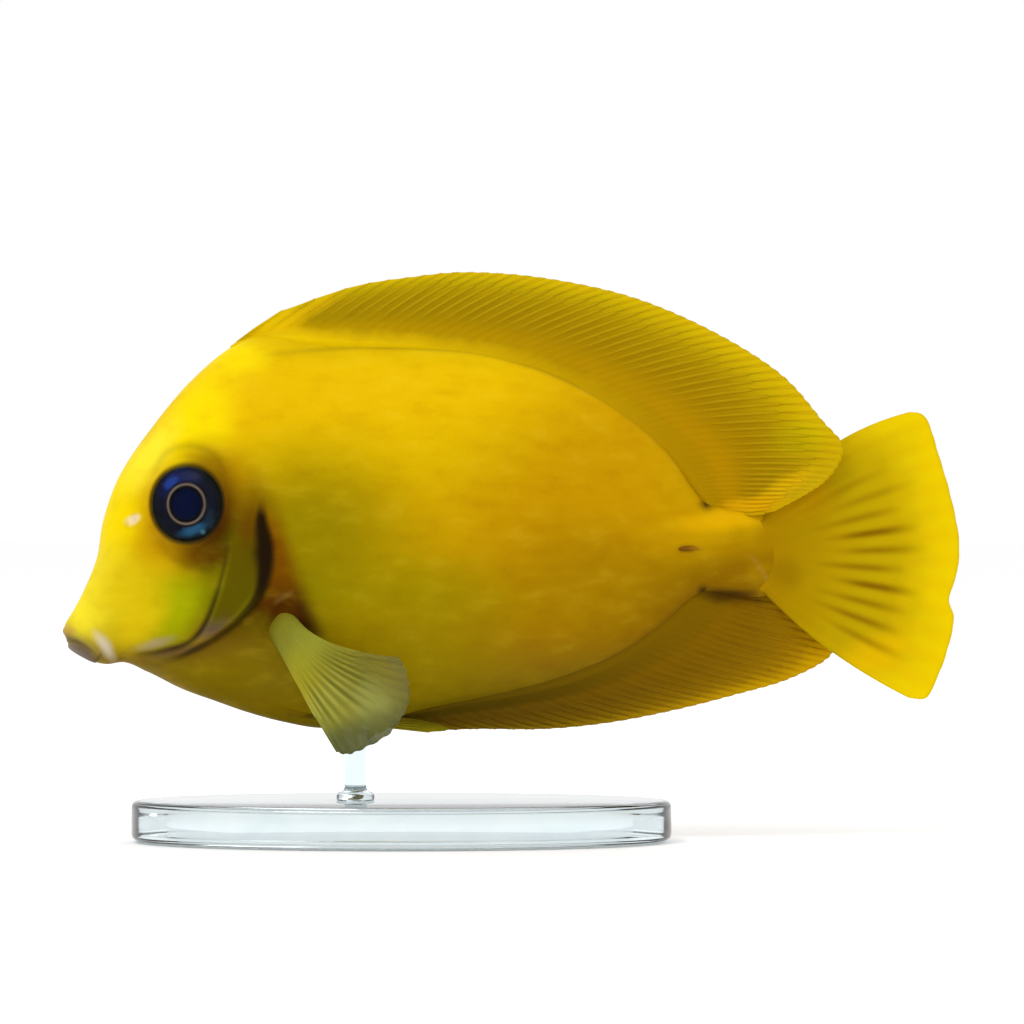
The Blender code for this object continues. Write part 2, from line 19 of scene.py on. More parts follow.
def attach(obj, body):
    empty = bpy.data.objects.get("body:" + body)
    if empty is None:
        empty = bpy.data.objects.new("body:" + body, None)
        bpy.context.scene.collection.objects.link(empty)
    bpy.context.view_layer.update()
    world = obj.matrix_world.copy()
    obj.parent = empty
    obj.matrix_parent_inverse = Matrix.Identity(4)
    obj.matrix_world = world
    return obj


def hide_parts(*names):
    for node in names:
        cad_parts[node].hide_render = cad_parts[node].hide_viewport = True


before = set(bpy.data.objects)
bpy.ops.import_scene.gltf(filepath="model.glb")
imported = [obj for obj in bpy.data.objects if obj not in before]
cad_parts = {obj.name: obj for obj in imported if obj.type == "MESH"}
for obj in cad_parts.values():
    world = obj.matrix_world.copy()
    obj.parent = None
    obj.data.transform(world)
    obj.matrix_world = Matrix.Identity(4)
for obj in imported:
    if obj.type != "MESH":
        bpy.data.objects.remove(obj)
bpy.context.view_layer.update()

LOG = logging.getLogger("surgeonfish")
MM = 0.001
BODY = "root"
Pair = tuple[float, float]
Stops = tuple[tuple[float, str], ...]


class Side(Enum):
    """The fish's left side faces -Y, its right side +Y."""

    LEFT = -1
    RIGHT = 1


# The body from snout to tail: top x, top z, low x, low z, half width, and how sharp its crown and keel are
SECTIONS = np.array((
    (-44.75, 20.8, -44.75, 20.8, 0.0, 0.8, 0.8),
    (-44.55, 21.7, -44.3, 19.7, 1.35, 0.8, 0.7),
    (-43.65, 23.2, -42.6, 18.2, 2.0, 0.8, 0.65),
    (-42.5, 25.5, -40.6, 17.6, 2.4, 0.85, 0.7),
    (-41.4, 28.4, -38.5, 17.75, 2.9, 0.9, 0.85),
    (-40.75, 32.2, -35.9, 16.6, 3.6, 0.95, 1.0),
    (-39.1, 36.6, -32.9, 15.1, 4.4, 0.95, 1.05),
    (-36.0, 41.2, -29.6, 13.9, 5.1, 1.0, 1.1),
    (-32.2, 45.75, -26.3, 12.75, 5.7, 1.05, 1.1),
    (-28.0, 49.3, -22.7, 11.8, 6.2, 1.15, 1.1),
    (-24.2, 50.6, -18.9, 11.2, 6.5, 1.3, 1.05),
    (-18.6, 49.9, -14.4, 11.6, 6.6, 1.4, 1.0),
    (-11.2, 49.85, -8.6, 12.95, 6.4, 1.45, 1.1),
    (-3.7, 49.35, -2.4, 14.0, 5.8, 1.45, 1.2),
    (3.6, 47.35, 4.0, 15.45, 4.9, 1.4, 1.25),
    (10.0, 44.1, 10.0, 17.6, 3.9, 1.35, 1.3),
    (15.2, 39.95, 14.8, 20.65, 2.9, 1.25, 1.25),
    (19.0, 34.3, 18.8, 24.4, 2.15, 1.0, 1.0),
    (21.9, 33.05, 22.0, 24.55, 1.7, 0.9, 0.9),
    (24.9, 32.75, 25.1, 24.35, 0.95, 0.7, 0.7),
    (26.6, 31.2, 26.9, 25.6, 0.62, 0.6, 0.6),
    (27.8, 28.4, 27.8, 28.4, 0.0, 0.8, 0.8),
))
HEAD_SECTIONS = 10
GILL_EDGE = (
    (-25.9, 53.0), (-25.6, 44.0), (-25.2, 37.0), (-24.5, 32.5), (-23.7, 29.0), (-24.4, 25.3),
    (-26.3, 22.7), (-29.0, 20.5), (-32.4, 18.7), (-35.7, 17.5), (-39.2, 14.5),
)
EYE_CENTRE = (-32.14, 33.58)
EYE_REACH = (3.6, 3.83)
BLADE_CENTRE = (18.0, 29.1)
SHOULDER_EDGE = (
    (-23.8, 34.2), (-23.2, 32.0), (-22.15, 29.5), (-21.15, 26.6), (-20.15, 24.0), (-19.15, 21.2),
    (-18.3, 18.6),
)
CURVE_POINTS = 24
EDGE_POINTS = 80
STEM_POINTS = 26
TWIG_POINTS = 10
RAY_SIDES = 8
ROD_SIDES = 48
FLOOR_SIDES = 96
SEARCH_STEPS = 30
RESIN_IOR = 1.46
AMBER = "#ffdf7a"


def smooth(share: np.ndarray) -> np.ndarray:
    """Eases a share from 0 to 1 and holds it outside."""
    share = np.clip(share, 0.0, 1.0)
    return share * share * (3 - 2 * share)


def blend(first: np.ndarray, second: np.ndarray, share: np.ndarray) -> np.ndarray:
    """A value a share of the way from first to second."""
    return first + (second - first) * share


def hump(distance: np.ndarray, width: float) -> np.ndarray:
    """A rounded bump, 1 at distance 0 and nearly 0 at twice its width."""
    return np.exp(-((distance / width) ** 2))


def spline(rows: np.ndarray, position: np.ndarray) -> np.ndarray:
    """A smooth curve through evenly spaced rows of numbers.

    Args:
        rows: the rows that the curve passes through.
        position: places on the curve, from 0 to one less than the number of rows.

    Returns:
        One row of numbers for each position.
    """
    rows = np.asarray(rows, dtype=float)
    position = np.atleast_1d(np.asarray(position, dtype=float))
    start = np.clip(position.astype(int), 0, len(rows) - 2)
    t = (position - start)[:, None]
    before, here = rows[np.maximum(start - 1, 0)], rows[start]
    after, beyond = rows[start + 1], rows[np.minimum(start + 2, len(rows) - 1)]
    slope, bend = after - before, 2 * before - 5 * here + 4 * after - beyond
    return 0.5 * (2 * here + slope * t + bend * t**2 + (3 * here - before - 3 * after + beyond) * t**3)


def path(rows: tuple, count: int) -> np.ndarray:
    """count points of the smooth curve through rows."""
    return spline(np.array(rows), np.linspace(0, len(rows) - 1, count))


@dataclass(frozen=True)
class Nearness:
    """How points lie beside a line."""

    distance: np.ndarray
    share: np.ndarray
    side: np.ndarray
    gap: np.ndarray


def nearest(line: np.ndarray, points: np.ndarray) -> Nearness:
    """Measures points against a line of straight steps.

    Args:
        line: the line's corners, in as many axes as the points.
        points: the points to measure.

    Returns:
        Each point's distance, its share along the line, the side it lies on, and the gap from the line to it.
    """
    best = np.full(len(points), np.inf)
    share, side, gap = np.zeros(len(points)), np.ones(len(points)), np.zeros(points.shape)
    lengths = np.linalg.norm(np.diff(line, axis=0), axis=1)
    starts = np.concatenate(([0.0], np.cumsum(lengths)))
    for step, (first, last) in enumerate(zip(line[:-1], line[1:])):
        run = last - first
        t = np.clip(((points - first) @ run) / (run @ run), 0, 1)
        off = points - first - t[:, None] * run
        far = np.einsum("ij,ij->i", off, off)
        closer = far < best
        best[closer] = far[closer]
        gap[closer] = off[closer]
        share[closer] = (starts[step] + t[closer] * lengths[step]) / starts[-1]
        if points.shape[1] == 2:
            side[closer] = np.sign(run[1] * off[closer, 0] - run[0] * off[closer, 1])
    return Nearness(np.sqrt(best), share, side, gap)


def body_points(along: np.ndarray, around: np.ndarray) -> np.ndarray:
    """Points of the smooth body, before its folds.

    Args:
        along: share of the way from snout to tail.
        around: angle from the back line, pi at the belly line and below 0 on the left.

    Returns:
        One x, y, z for each pair.
    """
    rows = spline(SECTIONS, along * (len(SECTIONS) - 1))
    top_x, top_z, low_x, low_z, half_width, crown, keel = rows.T
    share = (1 - np.cos(around)) / 2
    out = half_width * np.abs(np.sin(around)) ** blend(crown, keel, share)
    x, z = blend(top_x, low_x, share), blend(top_z, low_z, share)
    return np.stack((x, np.copysign(out, around), z), axis=1)


def flank_width(x: np.ndarray, z: np.ndarray) -> np.ndarray:
    """Half the body's width at points seen from the side."""
    x, z = np.atleast_1d(x).astype(float), np.atleast_1d(z).astype(float)
    low, high = np.full(len(x), 0.03), np.full(len(x), 0.97)
    for _ in range(SEARCH_STEPS):
        middle = (low + high) / 2
        row = spline(SECTIONS, middle * (len(SECTIONS) - 1)).T
        ahead = (row[2] - row[0]) * (z - row[1]) - (row[3] - row[1]) * (x - row[0]) > 0
        low, high = np.where(ahead, middle, low), np.where(ahead, high, middle)
    row = spline(SECTIONS, low * (len(SECTIONS) - 1)).T
    share = np.clip((row[1] - z) / (row[1] - row[3]), 0.001, 0.999)
    return np.abs(body_points(low, np.arccos(1 - 2 * share))[:, 1])


def grid_faces(rows: int, columns: int, closed: bool = False) -> list[tuple[int, ...]]:
    """The four-sided faces between rows of points, joined round to the first column where closed."""
    last = columns if closed else columns - 1
    corners = ((0, 0), (0, 1), (1, 1), (1, 0))
    return [
        tuple((row + down) * columns + (column + over) % columns for down, over in corners)
        for row in range(rows - 1)
        for column in range(last)
    ]


def capped_faces(rows: int, columns: int) -> list[tuple[int, ...]]:
    """The faces of a tube of points, each end of it closed onto one of the two points that follow."""
    faces = grid_faces(rows, columns, closed=True)
    start, end, last = rows * columns, rows * columns + 1, (rows - 1) * columns
    faces += [(start, c, (c + 1) % columns) for c in range(columns)]
    faces += [(end, last + (c + 1) % columns, last + c) for c in range(columns)]
    return faces


def grid_normals(points: np.ndarray, rows: int, columns: int, closed: bool = False) -> np.ndarray:
    """Unit normals of a grid of points, from the run of its rows and columns."""
    grid = points.reshape(rows, columns, 3)
    down = np.gradient(grid, axis=0)
    if closed:
        over = (np.roll(grid, -1, axis=1) - np.roll(grid, 1, axis=1)) / 2
    else:
        over = np.gradient(grid, axis=1)
    normals = np.cross(over, down).reshape(-1, 3)
    return normals / np.maximum(np.linalg.norm(normals, axis=1), 1e-9)[:, None]


def face_outward(mesh: Mesh) -> None:
    """Turns a closed mesh's faces to the outside."""
    form = bmesh.new()
    form.from_mesh(mesh)
    bmesh.ops.recalc_face_normals(form, faces=form.faces)
    if form.calc_volume(signed=True) < 0:
        bmesh.ops.reverse_faces(form, faces=form.faces)
    form.to_mesh(mesh)
    form.free()


def make_piece(
    name: str,
    points: np.ndarray,
    faces: list,
    fields: dict[str, np.ndarray] | None = None,
    edges: list | None = None,
) -> Object:
    """Writes a mesh object from points in millimetres.

    Args:
        name: the object's name.
        points: x, y, z of each point.
        faces: the faces as tuples of point numbers.
        fields: named numbers for each point, which the finishes read.
        edges: edges without faces, for a mesh that is still to be swept.

    Returns:
        The linked object.
    """
    mesh = bpy.data.meshes.new(name)
    mesh.from_pydata((points * MM).tolist(), edges or [], faces)
    if faces:
        face_outward(mesh)
        mesh.shade_smooth()
    for key, values in (fields or {}).items():
        attribute = mesh.attributes.new(key, "FLOAT", "POINT")
        attribute.data.foreach_set("value", np.asarray(values, dtype=np.float32))
    obj = bpy.data.objects.new(name, mesh)
    bpy.context.scene.collection.objects.link(obj)
    return obj


def mount(obj: Object, slot: str, *nodes: str) -> None:
    """Hands a finished piece to the frame.

    Args:
        obj: the piece.
        slot: not used.
        nodes: the solids that it stands for.
    """
    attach(obj, BODY)
    if nodes:
        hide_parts(*nodes)
    LOG.info("%s: %d faces", obj.name, len(obj.data.polygons))


def linear(colour: str) -> tuple[float, float, float, float]:
    """The linear colour of an sRGB hex value."""
    channels = [int(colour[i : i + 2], 16) / 255 for i in (1, 3, 5)]
    return (*(c / 12.92 if c <= 0.04045 else ((c + 0.055) / 1.055) ** 2.4 for c in channels), 1.0)


def feed(node: Node, inputs: dict) -> None:
    """Sets a node's inputs by name or number, or links them where a socket is given."""
    for key, value in inputs.items():
        if isinstance(value, NodeSocket):
            node.id_data.links.new(value, node.inputs[key])
        else:
            node.inputs[key].default_value = value


def add(tree: NodeTree, kind: str, inputs: dict | None = None, **settings: object) -> Node:
    """Adds a node with its settings and links.

    Args:
        tree: the node tree.
        kind: the node's type.
        inputs: a value or a socket to link for each input, by name or number.
        settings: the node's own settings. stops gives a colour ramp its places and colours.

    Returns:
        The node.
    """
    node = tree.nodes.new(kind)
    for key, value in settings.items():
        if key == "stops":
            ramp = node.color_ramp.elements
            while len(ramp) < len(value):
                ramp.new(1.0)
            for element, (place, colour) in zip(ramp, value):
                element.position = place
                element.color = linear(colour)
        else:
            setattr(node, key, value)
    feed(node, inputs or {})
    return node


MIX_FACTOR, MIX_FIRST, MIX_SECOND, MIX_RESULT = 0, 6, 7, 2


@dataclass(frozen=True)
class Patch:
    """A soft oval of colour on both sides of the fish, seen from the side, in millimetres and degrees."""

    x: float
    z: float
    reach_x: float
    reach_z: float
    colour: str
    strength: float = 1.0
    tilt: float = 0.0
    soft: float = 0.8


@dataclass(frozen=True)
class Finish:
    """What every painted finish here shares: a Principled shader and the fish's own coordinates."""

    name: str

    def open(self) -> tuple[Material, NodeTree, Node]:
        """A new material, its tree and its shader."""
        material = bpy.data.materials.new(self.name)
        material.use_nodes = True
        tree = material.node_tree
        return material, tree, tree.nodes["Principled BSDF"]

    @staticmethod
    def place(tree: NodeTree) -> NodeSocket:
        """The place on the object, in metres."""
        return add(tree, "ShaderNodeTexCoord").outputs["Object"]

    @staticmethod
    def read(tree: NodeTree, name: str) -> NodeSocket:
        """The numbers that the piece's points carry under a name."""
        return add(tree, "ShaderNodeAttribute", attribute_name=name).outputs["Fac"]

    @staticmethod
    def ramp(tree: NodeTree, share: NodeSocket, stops: Stops) -> NodeSocket:
        """The colour for each share."""
        return add(tree, "ShaderNodeValToRGB", {"Fac": share}, stops=stops).outputs["Color"]

    @staticmethod
    def noise(tree: NodeTree, place: NodeSocket, grain: float, detail: float) -> Node:
        """Soft noise whose blots are grain millimetres across."""
        inputs = {"Vector": place, "Scale": 1 / (grain * MM), "Detail": detail}
        return add(tree, "ShaderNodeTexNoise", inputs)

    @staticmethod
    def remap(
        tree: NodeTree, value: NodeSocket, given: tuple = (0.0, 1.0), made: tuple = (0.0, 1.0)
    ) -> NodeSocket:
        """Stretches a value evenly from the given span to the made one."""
        spans = dict(zip(("From Min", "From Max", "To Min", "To Max"), (*given, *made)))
        return add(tree, "ShaderNodeMapRange", {"Value": value, **spans}).outputs[0]

    @staticmethod
    def bump(tree: NodeTree, relief: NodeSocket, strength: float, depth: float) -> NodeSocket:
        """The surface's slope where a relief of depth millimetres is laid on it."""
        inputs = {"Strength": strength, "Distance": depth * MM, "Height": relief}
        return add(tree, "ShaderNodeBump", inputs).outputs["Normal"]

    @classmethod
    def warp(cls, tree: NodeTree, place: NodeSocket, grain: float, amount: float) -> NodeSocket:
        """The place, pushed about so that painted edges run unevenly.

        Args:
            tree: the node tree.
            place: the place to push about.
            grain: size of the unevenness in millimetres.
            amount: the furthest push in millimetres.

        Returns:
            The pushed place.
        """
        noise = cls.noise(tree, place, grain, 3.0).outputs["Color"]
        centred = add(tree, "ShaderNodeVectorMath", {0: noise, 1: (0.5, 0.5, 0.5)}, operation="SUBTRACT")
        inputs = {0: centred.outputs[0], "Scale": 2 * amount * MM}
        push = add(tree, "ShaderNodeVectorMath", inputs, operation="SCALE")
        return add(tree, "ShaderNodeVectorMath", {0: place, 1: push.outputs[0]}, operation="ADD").outputs[0]

    @staticmethod
    def mix(
        tree: NodeTree,
        factor: NodeSocket,
        first: NodeSocket | tuple,
        second: NodeSocket | tuple,
        blend_type: str = "MIX",
    ) -> NodeSocket:
        """One colour laid over another."""
        inputs = {MIX_FACTOR: factor, MIX_FIRST: first, MIX_SECOND: second}
        return add(tree, "ShaderNodeMix", inputs, data_type="RGBA", blend_type=blend_type).outputs[MIX_RESULT]

    @classmethod
    def spray(
        cls, tree: NodeTree, colour: NodeSocket, place: NodeSocket, patches: tuple[Patch, ...]
    ) -> NodeSocket:
        """Sprays soft ovals of colour over one another.

        Args:
            tree: the node tree.
            colour: the colour under them.
            place: the place on the object.
            patches: the ovals, the last on top.

        Returns:
            The colour with all the ovals on it.
        """
        for patch in patches:
            inputs = {
                "Vector": place,
                "Location": (patch.x * MM, 0.0, patch.z * MM),
                "Rotation": (0.0, -math.radians(patch.tilt), 0.0),
                "Scale": (patch.reach_x * MM, 1.0, patch.reach_z * MM),
            }
            oval = add(tree, "ShaderNodeMapping", inputs, vector_type="TEXTURE")
            ball = add(tree, "ShaderNodeTexGradient", {"Vector": oval.outputs[0]}, gradient_type="SPHERICAL")
            cover = cls.level(tree, ball.outputs["Fac"], 0.0, patch.soft, patch.strength)
            colour = cls.mix(tree, cover, colour, linear(patch.colour))
        return colour

    @staticmethod
    def level(tree: NodeTree, value: NodeSocket, low: float, high: float, peak: float = 1.0) -> NodeSocket:
        """Eases a value from 0 at low to peak at high."""
        inputs = {"Value": value, "From Min": low, "From Max": high, "To Max": peak}
        return add(tree, "ShaderNodeMapRange", inputs, interpolation_type="SMOOTHSTEP").outputs[0]


class Paint(Enum):
    """The colours in the airbrush, roughly from light to dark."""

    CREAM = "#e8d2ae"
    LEMON = "#e9d62a"
    CANARY = "#e4ca00"
    BONE = "#cabdaa"
    HONEY = "#ce9d00"
    GOLD = "#c9ae08"
    PEACH = "#b98f42"
    OCHRE = "#b38400"
    KHAKI = "#a08600"
    LIME = "#969900"
    BRONZE = "#997200"
    SAND = "#988764"
    TOBACCO = "#845d00"
    OLIVE = "#7b6500"
    FERN = "#726a00"
    SEPIA = "#5f4628"
    DUSK = "#5c4a42"
    UMBER = "#533200"
    MOSS = "#3a4000"


@dataclass(frozen=True)
class PaintedSkin(Finish):
    """Cast polyurethane resin, airbrushed in thin coats of yellow over ochre and sealed with a satin lacquer.

    The eye sees a soft, wide sheen, warm because the lacquer is amber, colours that melt into one another,
    painted shade that darkens the belly, the tail's underside and each fold, and painted light on the back
    and brow.
    """

    name: str = "airbrushed_resin_skin"
    scale_size: float = 0.42
    scale_depth: float = 0.06
    mottle: float = 1.5
    mottle_deep: str = "#c9a860"
    mottle_light: str = "#f0d030"
    rough: Pair = (0.36, 0.56)
    gloss: float = 0.07
    glow: float = 0.12
    height_low: float = 11.0
    height_high: float = 50.0
    # The colour by height, from the belly up: darkest low down as painted shade, brightest along the back as
    # painted light from above.
    stops: Stops = (
        (0.05, "#846a00"), (0.14, "#7a6412"), (0.25, "#6a4a08"), (0.35, "#6a6a00"), (0.46, "#b68f00"),
        (0.58, "#bd9600"), (0.7, "#c8a300"), (0.82, "#d2a900"), (0.92, "#d4ac00"), (0.98, "#ccaa00"),
    )
    patches: tuple[Patch, ...] = (
        # The flank: ochre towards the tail, bronze low down, olive behind the gill cover and khaki under it;
        # the bronze and khaki are in part painted shade, darker where less light falls from above.
        Patch(7.0, 32.5, 26.0, 16.5, Paint.OCHRE.value, 0.85, 55.0),
        Patch(10.5, 25.0, 17.5, 9.0, Paint.BRONZE.value, 0.85, -15.0),
        Patch(-20.5, 28.5, 14.5, 15.5, Paint.FERN.value, 0.75, -40.0),
        Patch(-11.0, 20.5, 15.0, 13.5, Paint.KHAKI.value, 0.8, 10.0),
        # The forehead, the nape, the ochre in front of the eye, the brow and the snout; the canary and lemon
        # on the forehead, nape, brow and snout are in part painted light from above and in front.
        Patch(-31.5, 41.0, 10.0, 5.5, Paint.CANARY.value, 0.95, 75.0),
        Patch(-28.0, 48.5, 5.5, 3.0, Paint.CANARY.value, 0.9, -5.0),
        Patch(-37.0, 33.0, 6.5, 12.0, Paint.OCHRE.value, 0.9, 20.0),
        Patch(-40.0, 34.0, 5.0, 11.0, Paint.CANARY.value, 0.9),
        Patch(-42.0, 24.0, 6.0, 8.0, Paint.LEMON.value, 0.9, -20.0),
        # The cheek, gold in front and green behind, and the orange brown over and behind the eye; the orange
        # brown and the dark moss behind the eye are in part painted shade.
        Patch(-37.5, 24.5, 6.5, 6.5, Paint.GOLD.value, 0.9),
        Patch(-33.5, 23.0, 6.0, 4.0, Paint.LIME.value, 0.95, 60.0),
        Patch(-29.0, 36.5, 6.0, 4.5, Paint.BRONZE.value, 0.85, -40.0),
        Patch(-25.5, 30.5, 4.0, 7.5, Paint.UMBER.value, 0.9),
        Patch(-29.0, 29.5, 2.5, 5.0, Paint.MOSS.value, 0.9, -15.0),
        Patch(-30.5, 28.5, 4.0, 2.0, Paint.UMBER.value, 0.85, 10.0),
        # The flush of the upper lip, and the dusky bands and the pale one under the cheek.
        Patch(-44.5, 21.0, 1.5, 1.0, Paint.PEACH.value, 0.7),
        Patch(-29.5, 21.5, 3.0, 1.0, Paint.DUSK.value, 0.8, 35.0),
        Patch(-33.5, 19.0, 4.0, 0.8, Paint.SEPIA.value, 0.85, 12.0),
        Patch(-35.5, 19.8, 3.0, 0.8, Paint.SAND.value, 0.8, 15.0, 0.9),
        # The throat and the underside of the tail, darkened as painted shade, the painted light along the
        # tail's top, and its soft edge on the tail fin.
        Patch(-30.5, 16.0, 11.5, 3.5, Paint.OLIVE.value, 0.85, 10.0),
        Patch(21.5, 24.5, 15.5, 7.5, Paint.TOBACCO.value, 0.95, 25.0),
        Patch(21.0, 32.0, 6.5, 1.5, Paint.HONEY.value, 0.9, 5.0),
        Patch(25.0, 27.0, 2.0, 1.5, Paint.BRONZE.value, 0.6),
        Patch(25.5, 30.5, 2.0, 1.5, Paint.BRONZE.value, 0.6),
        # A painted highlight on the brow's edge, a lighter gold on the lower cheek, and the two white flecks.
        Patch(-36.0, 38.5, 2.5, 6.5, Paint.LEMON.value, 0.9, -35.0),
        Patch(-37.0, 22.0, 5.5, 3.0, Paint.GOLD.value, 0.9, 45.0),
        Patch(-40.5, 19.5, 0.9, 2.3, Paint.BONE.value, 0.8, 35.0, 0.9),
        Patch(-37.75, 32.0, 1.2, 0.7, Paint.CREAM.value, 0.9, 30.0),
    )
    # The last coats: eye_shadow is a painted shadow behind and below the eye, eye_ring painted shade in the
    # eye's cup, shade painted shade in the folds and pits, and mouth the lips' dusky colour with painted
    # shade in the slit.
    marks: tuple[tuple[str, str], ...] = (
        ("eye_shadow", "#411600"), ("opercle", "#504600"), ("lower_lip", "#7b6f66"), ("mouth", "#5a4a3c"),
        ("gill_band", "#170b05"), ("pale", "#b39a52"), ("eye_ring", "#1a190c"), ("shade", "#20140a"),
    )
    # The shoulder's own orange brown by height, darkest low by the pectoral fin's root, where it is partly
    # painted shade.
    shoulder_stops: Stops = (
        (0.2, "#3e2000"), (0.27, "#3e1e00"), (0.32, "#482400"), (0.4, "#6a4000"), (0.48, "#724200"),
        (0.55, "#8a5e00"),
    )

    def make(self) -> Material:
        """Paints the skin from the belly up, then its patches and shoulder, and last the painted shade of its
        folds, eye and mouth, and its lips.
        """
        material, tree, shader = self.open()
        place = self.place(tree)
        warped = self.warp(tree, place, 4.5, 0.6)
        height = add(tree, "ShaderNodeSeparateXYZ", {0: warped}).outputs["Z"]
        rise = self.remap(tree, height, (self.height_low * MM, self.height_high * MM))
        colour = self.spray(tree, self.ramp(tree, rise, self.stops), warped, self.patches)
        shoulder = self.ramp(tree, rise, self.shoulder_stops)
        colour = self.mix(tree, self.read(tree, "shoulder"), colour, shoulder)
        colour = self.mottling(tree, colour, place)
        for name, tint in self.marks:
            colour = self.mix(tree, self.read(tree, name), colour, linear(tint))
        feed(shader, {"Base Color": colour})
        self.lacquer(tree, shader, place)
        return material

    def mottling(self, tree: NodeTree, colour: NodeSocket, place: NodeSocket) -> NodeSocket:
        """Uneven coats, drawn out along the fish, some a little deeper and some a little paler."""
        drawn = add(tree, "ShaderNodeMapping", {"Vector": place, "Scale": (0.45, 1.0, 1.0)}).outputs[0]
        coats = self.noise(tree, drawn, self.mottle, 6.0).outputs["Fac"]
        deep, light = self.level(tree, coats, 0.46, 0.8, 0.22), self.level(tree, coats, 0.5, 0.24, 0.08)
        colour = self.mix(tree, deep, colour, linear(self.mottle_deep), "MULTIPLY")
        return self.mix(tree, light, colour, linear(self.mottle_light))

    def lacquer(self, tree: NodeTree, shader: Node, place: NodeSocket) -> None:
        """The satin lacquer over tiny scales, twice as coarse as a young fish's, or they wouldn't show."""
        grain = self.noise(tree, place, 0.9, 4.0).outputs["Fac"]
        inputs = {"Vector": place, "Scale": 1 / (self.scale_size * MM), "Randomness": 0.7}
        scales = add(tree, "ShaderNodeTexVoronoi", inputs, feature="DISTANCE_TO_EDGE")
        relief = add(tree, "ShaderNodeMath", {0: scales.outputs["Distance"], 1: grain}, operation="ADD")
        feed(shader, {
            "IOR": RESIN_IOR,
            "Specular IOR Level": self.gloss,
            "Specular Tint": linear(AMBER),
            "Subsurface Weight": self.glow,
            "Subsurface Radius": (0.9, 0.5, 0.1),
            "Subsurface Scale": 0.8 * MM,
            "Roughness": self.remap(tree, grain, made=self.rough),
            "Normal": self.bump(tree, relief.outputs[0], 0.35, self.scale_depth),
        })


@dataclass(frozen=True)
class FinFilm(Finish):
    """Thin cast resin, tinted through and airbrushed, as clear as horn where it is thinnest.

    The eye sees light glow through it, and the rays paler than the film. clear is how much it covers at its
    root, at its near end's free edge and at its far end's.
    """

    stops: Stops = ((0.0, "#b08a00"), (1.0, "#e0b400"))
    far_stops: Stops = ((0.0, "#b08a00"), (1.0, "#e0b400"))
    patches: tuple[Patch, ...] = ()
    streak_colour: str = "#8a6500"
    streaks: float = 0.0
    clear: tuple[float, float, float] = (1.0, 1.0, 1.0)
    wander: float = 0.16
    rough: float = 0.45
    gloss: float = 0.08
    glow: float = 0.25

    def make(self) -> Material:
        """Tints the film from root to free edge, one way at its near end and another at its far end."""
        material, tree, shader = self.open()
        place = self.place(tree)
        along, end = self.read(tree, "along"), self.read(tree, "end")
        blots = self.noise(tree, place, 2.6, 3.0).outputs["Fac"]
        centre = add(tree, "ShaderNodeMath", {0: along, 1: self.wander / 2}, operation="SUBTRACT").outputs[0]
        inputs = {0: blots, 1: self.wander, 2: centre}
        shifted = add(tree, "ShaderNodeMath", inputs, operation="MULTIPLY_ADD").outputs[0]
        near, far = (self.ramp(tree, shifted, stops) for stops in (self.stops, self.far_stops))
        colour = self.mix(tree, end, near, far)
        colour = self.spray(tree, colour, self.warp(tree, place, 3.0, 0.7), self.patches)
        if self.streaks:
            inputs = {0: self.read(tree, "streak"), 1: self.streaks}
            cover = add(tree, "ShaderNodeMath", inputs, operation="MULTIPLY").outputs[0]
            colour = self.mix(tree, cover, colour, linear(self.streak_colour))
        if min(self.clear) < 1:
            root, near_edge, far_edge = self.clear
            edge = self.remap(tree, end, made=(near_edge, far_edge))
            share = self.level(tree, along, 0.2, 0.85)
            feed(shader, {"Alpha": self.remap(tree, share, made=(root, edge))})
        fine = self.noise(tree, place, 0.35, 3.0).outputs["Fac"]
        feed(shader, {
            "Base Color": colour,
            "IOR": RESIN_IOR,
            "Specular IOR Level": self.gloss,
            "Specular Tint": linear(AMBER),
            "Roughness": self.rough,
            "Subsurface Weight": self.glow,
            "Subsurface Radius": (1.0, 0.7, 0.15),
            "Subsurface Scale": 0.9 * MM,
            "Normal": self.bump(tree, fine, 0.25, 0.03),
        })
        return material


@dataclass(frozen=True)
class GlassEye(Finish):
    """Painted iris under glass, as in a taxidermist's eye.

    The eye sees deep navy, a painted reflection of brighter blue towards the light, and a thin ring of dull
    bronze in it.
    """

    name: str = "painted_glass_eye"
    stops: Stops = (
        (0.0, "#000628"), (0.36, "#000624"), (0.42, "#03040e"), (0.46, "#14110e"), (0.49, "#4c4038"),
        (0.515, "#74675a"), (0.54, "#443a32"), (0.575, "#0b0c12"), (0.7, "#080c1e"), (0.84, "#0a0e16"),
        (0.93, "#0e120e"), (1.0, "#121004"),
    )
    # Painted reflections on the eye: blue towards the upper front, and a teal crescent with a small glint low
    # down.
    patches: tuple[Patch, ...] = (
        Patch(-33.0, 35.6, 3.0, 2.2, "#10184a", 0.8, 35.0),
        Patch(-33.7, 35.75, 1.15, 0.8, "#1c3a86", 0.8, 45.0),
        Patch(-31.5, 31.1, 2.2, 0.8, "#225070", 0.95, 20.0),
        Patch(-30.6, 30.85, 0.4, 0.35, "#4a8690", 0.5),
        Patch(-30.0, 32.4, 0.8, 1.9, "#1a2e3a", 0.5, 15.0),
    )
    ring_edge: Pair = (0.57, 0.63)

    def make(self) -> Material:
        """Paints the iris from the pupil's middle out, and a painted reflection of the sky's blue, teal and a
        glint on it outside the ring.
        """
        material, tree, shader = self.open()
        radius = self.read(tree, "radius")
        colour = self.ramp(tree, radius, self.stops)
        # The painted reflection, laid on outside the ring.
        sheen = self.spray(tree, colour, self.warp(tree, self.place(tree), 1.2, 0.3), self.patches)
        outside = self.level(tree, radius, *self.ring_edge)
        feed(shader, {
            "Base Color": self.mix(tree, outside, colour, sheen),
            "Roughness": 0.35,
            "Specular IOR Level": 0.03,
        })
        return material


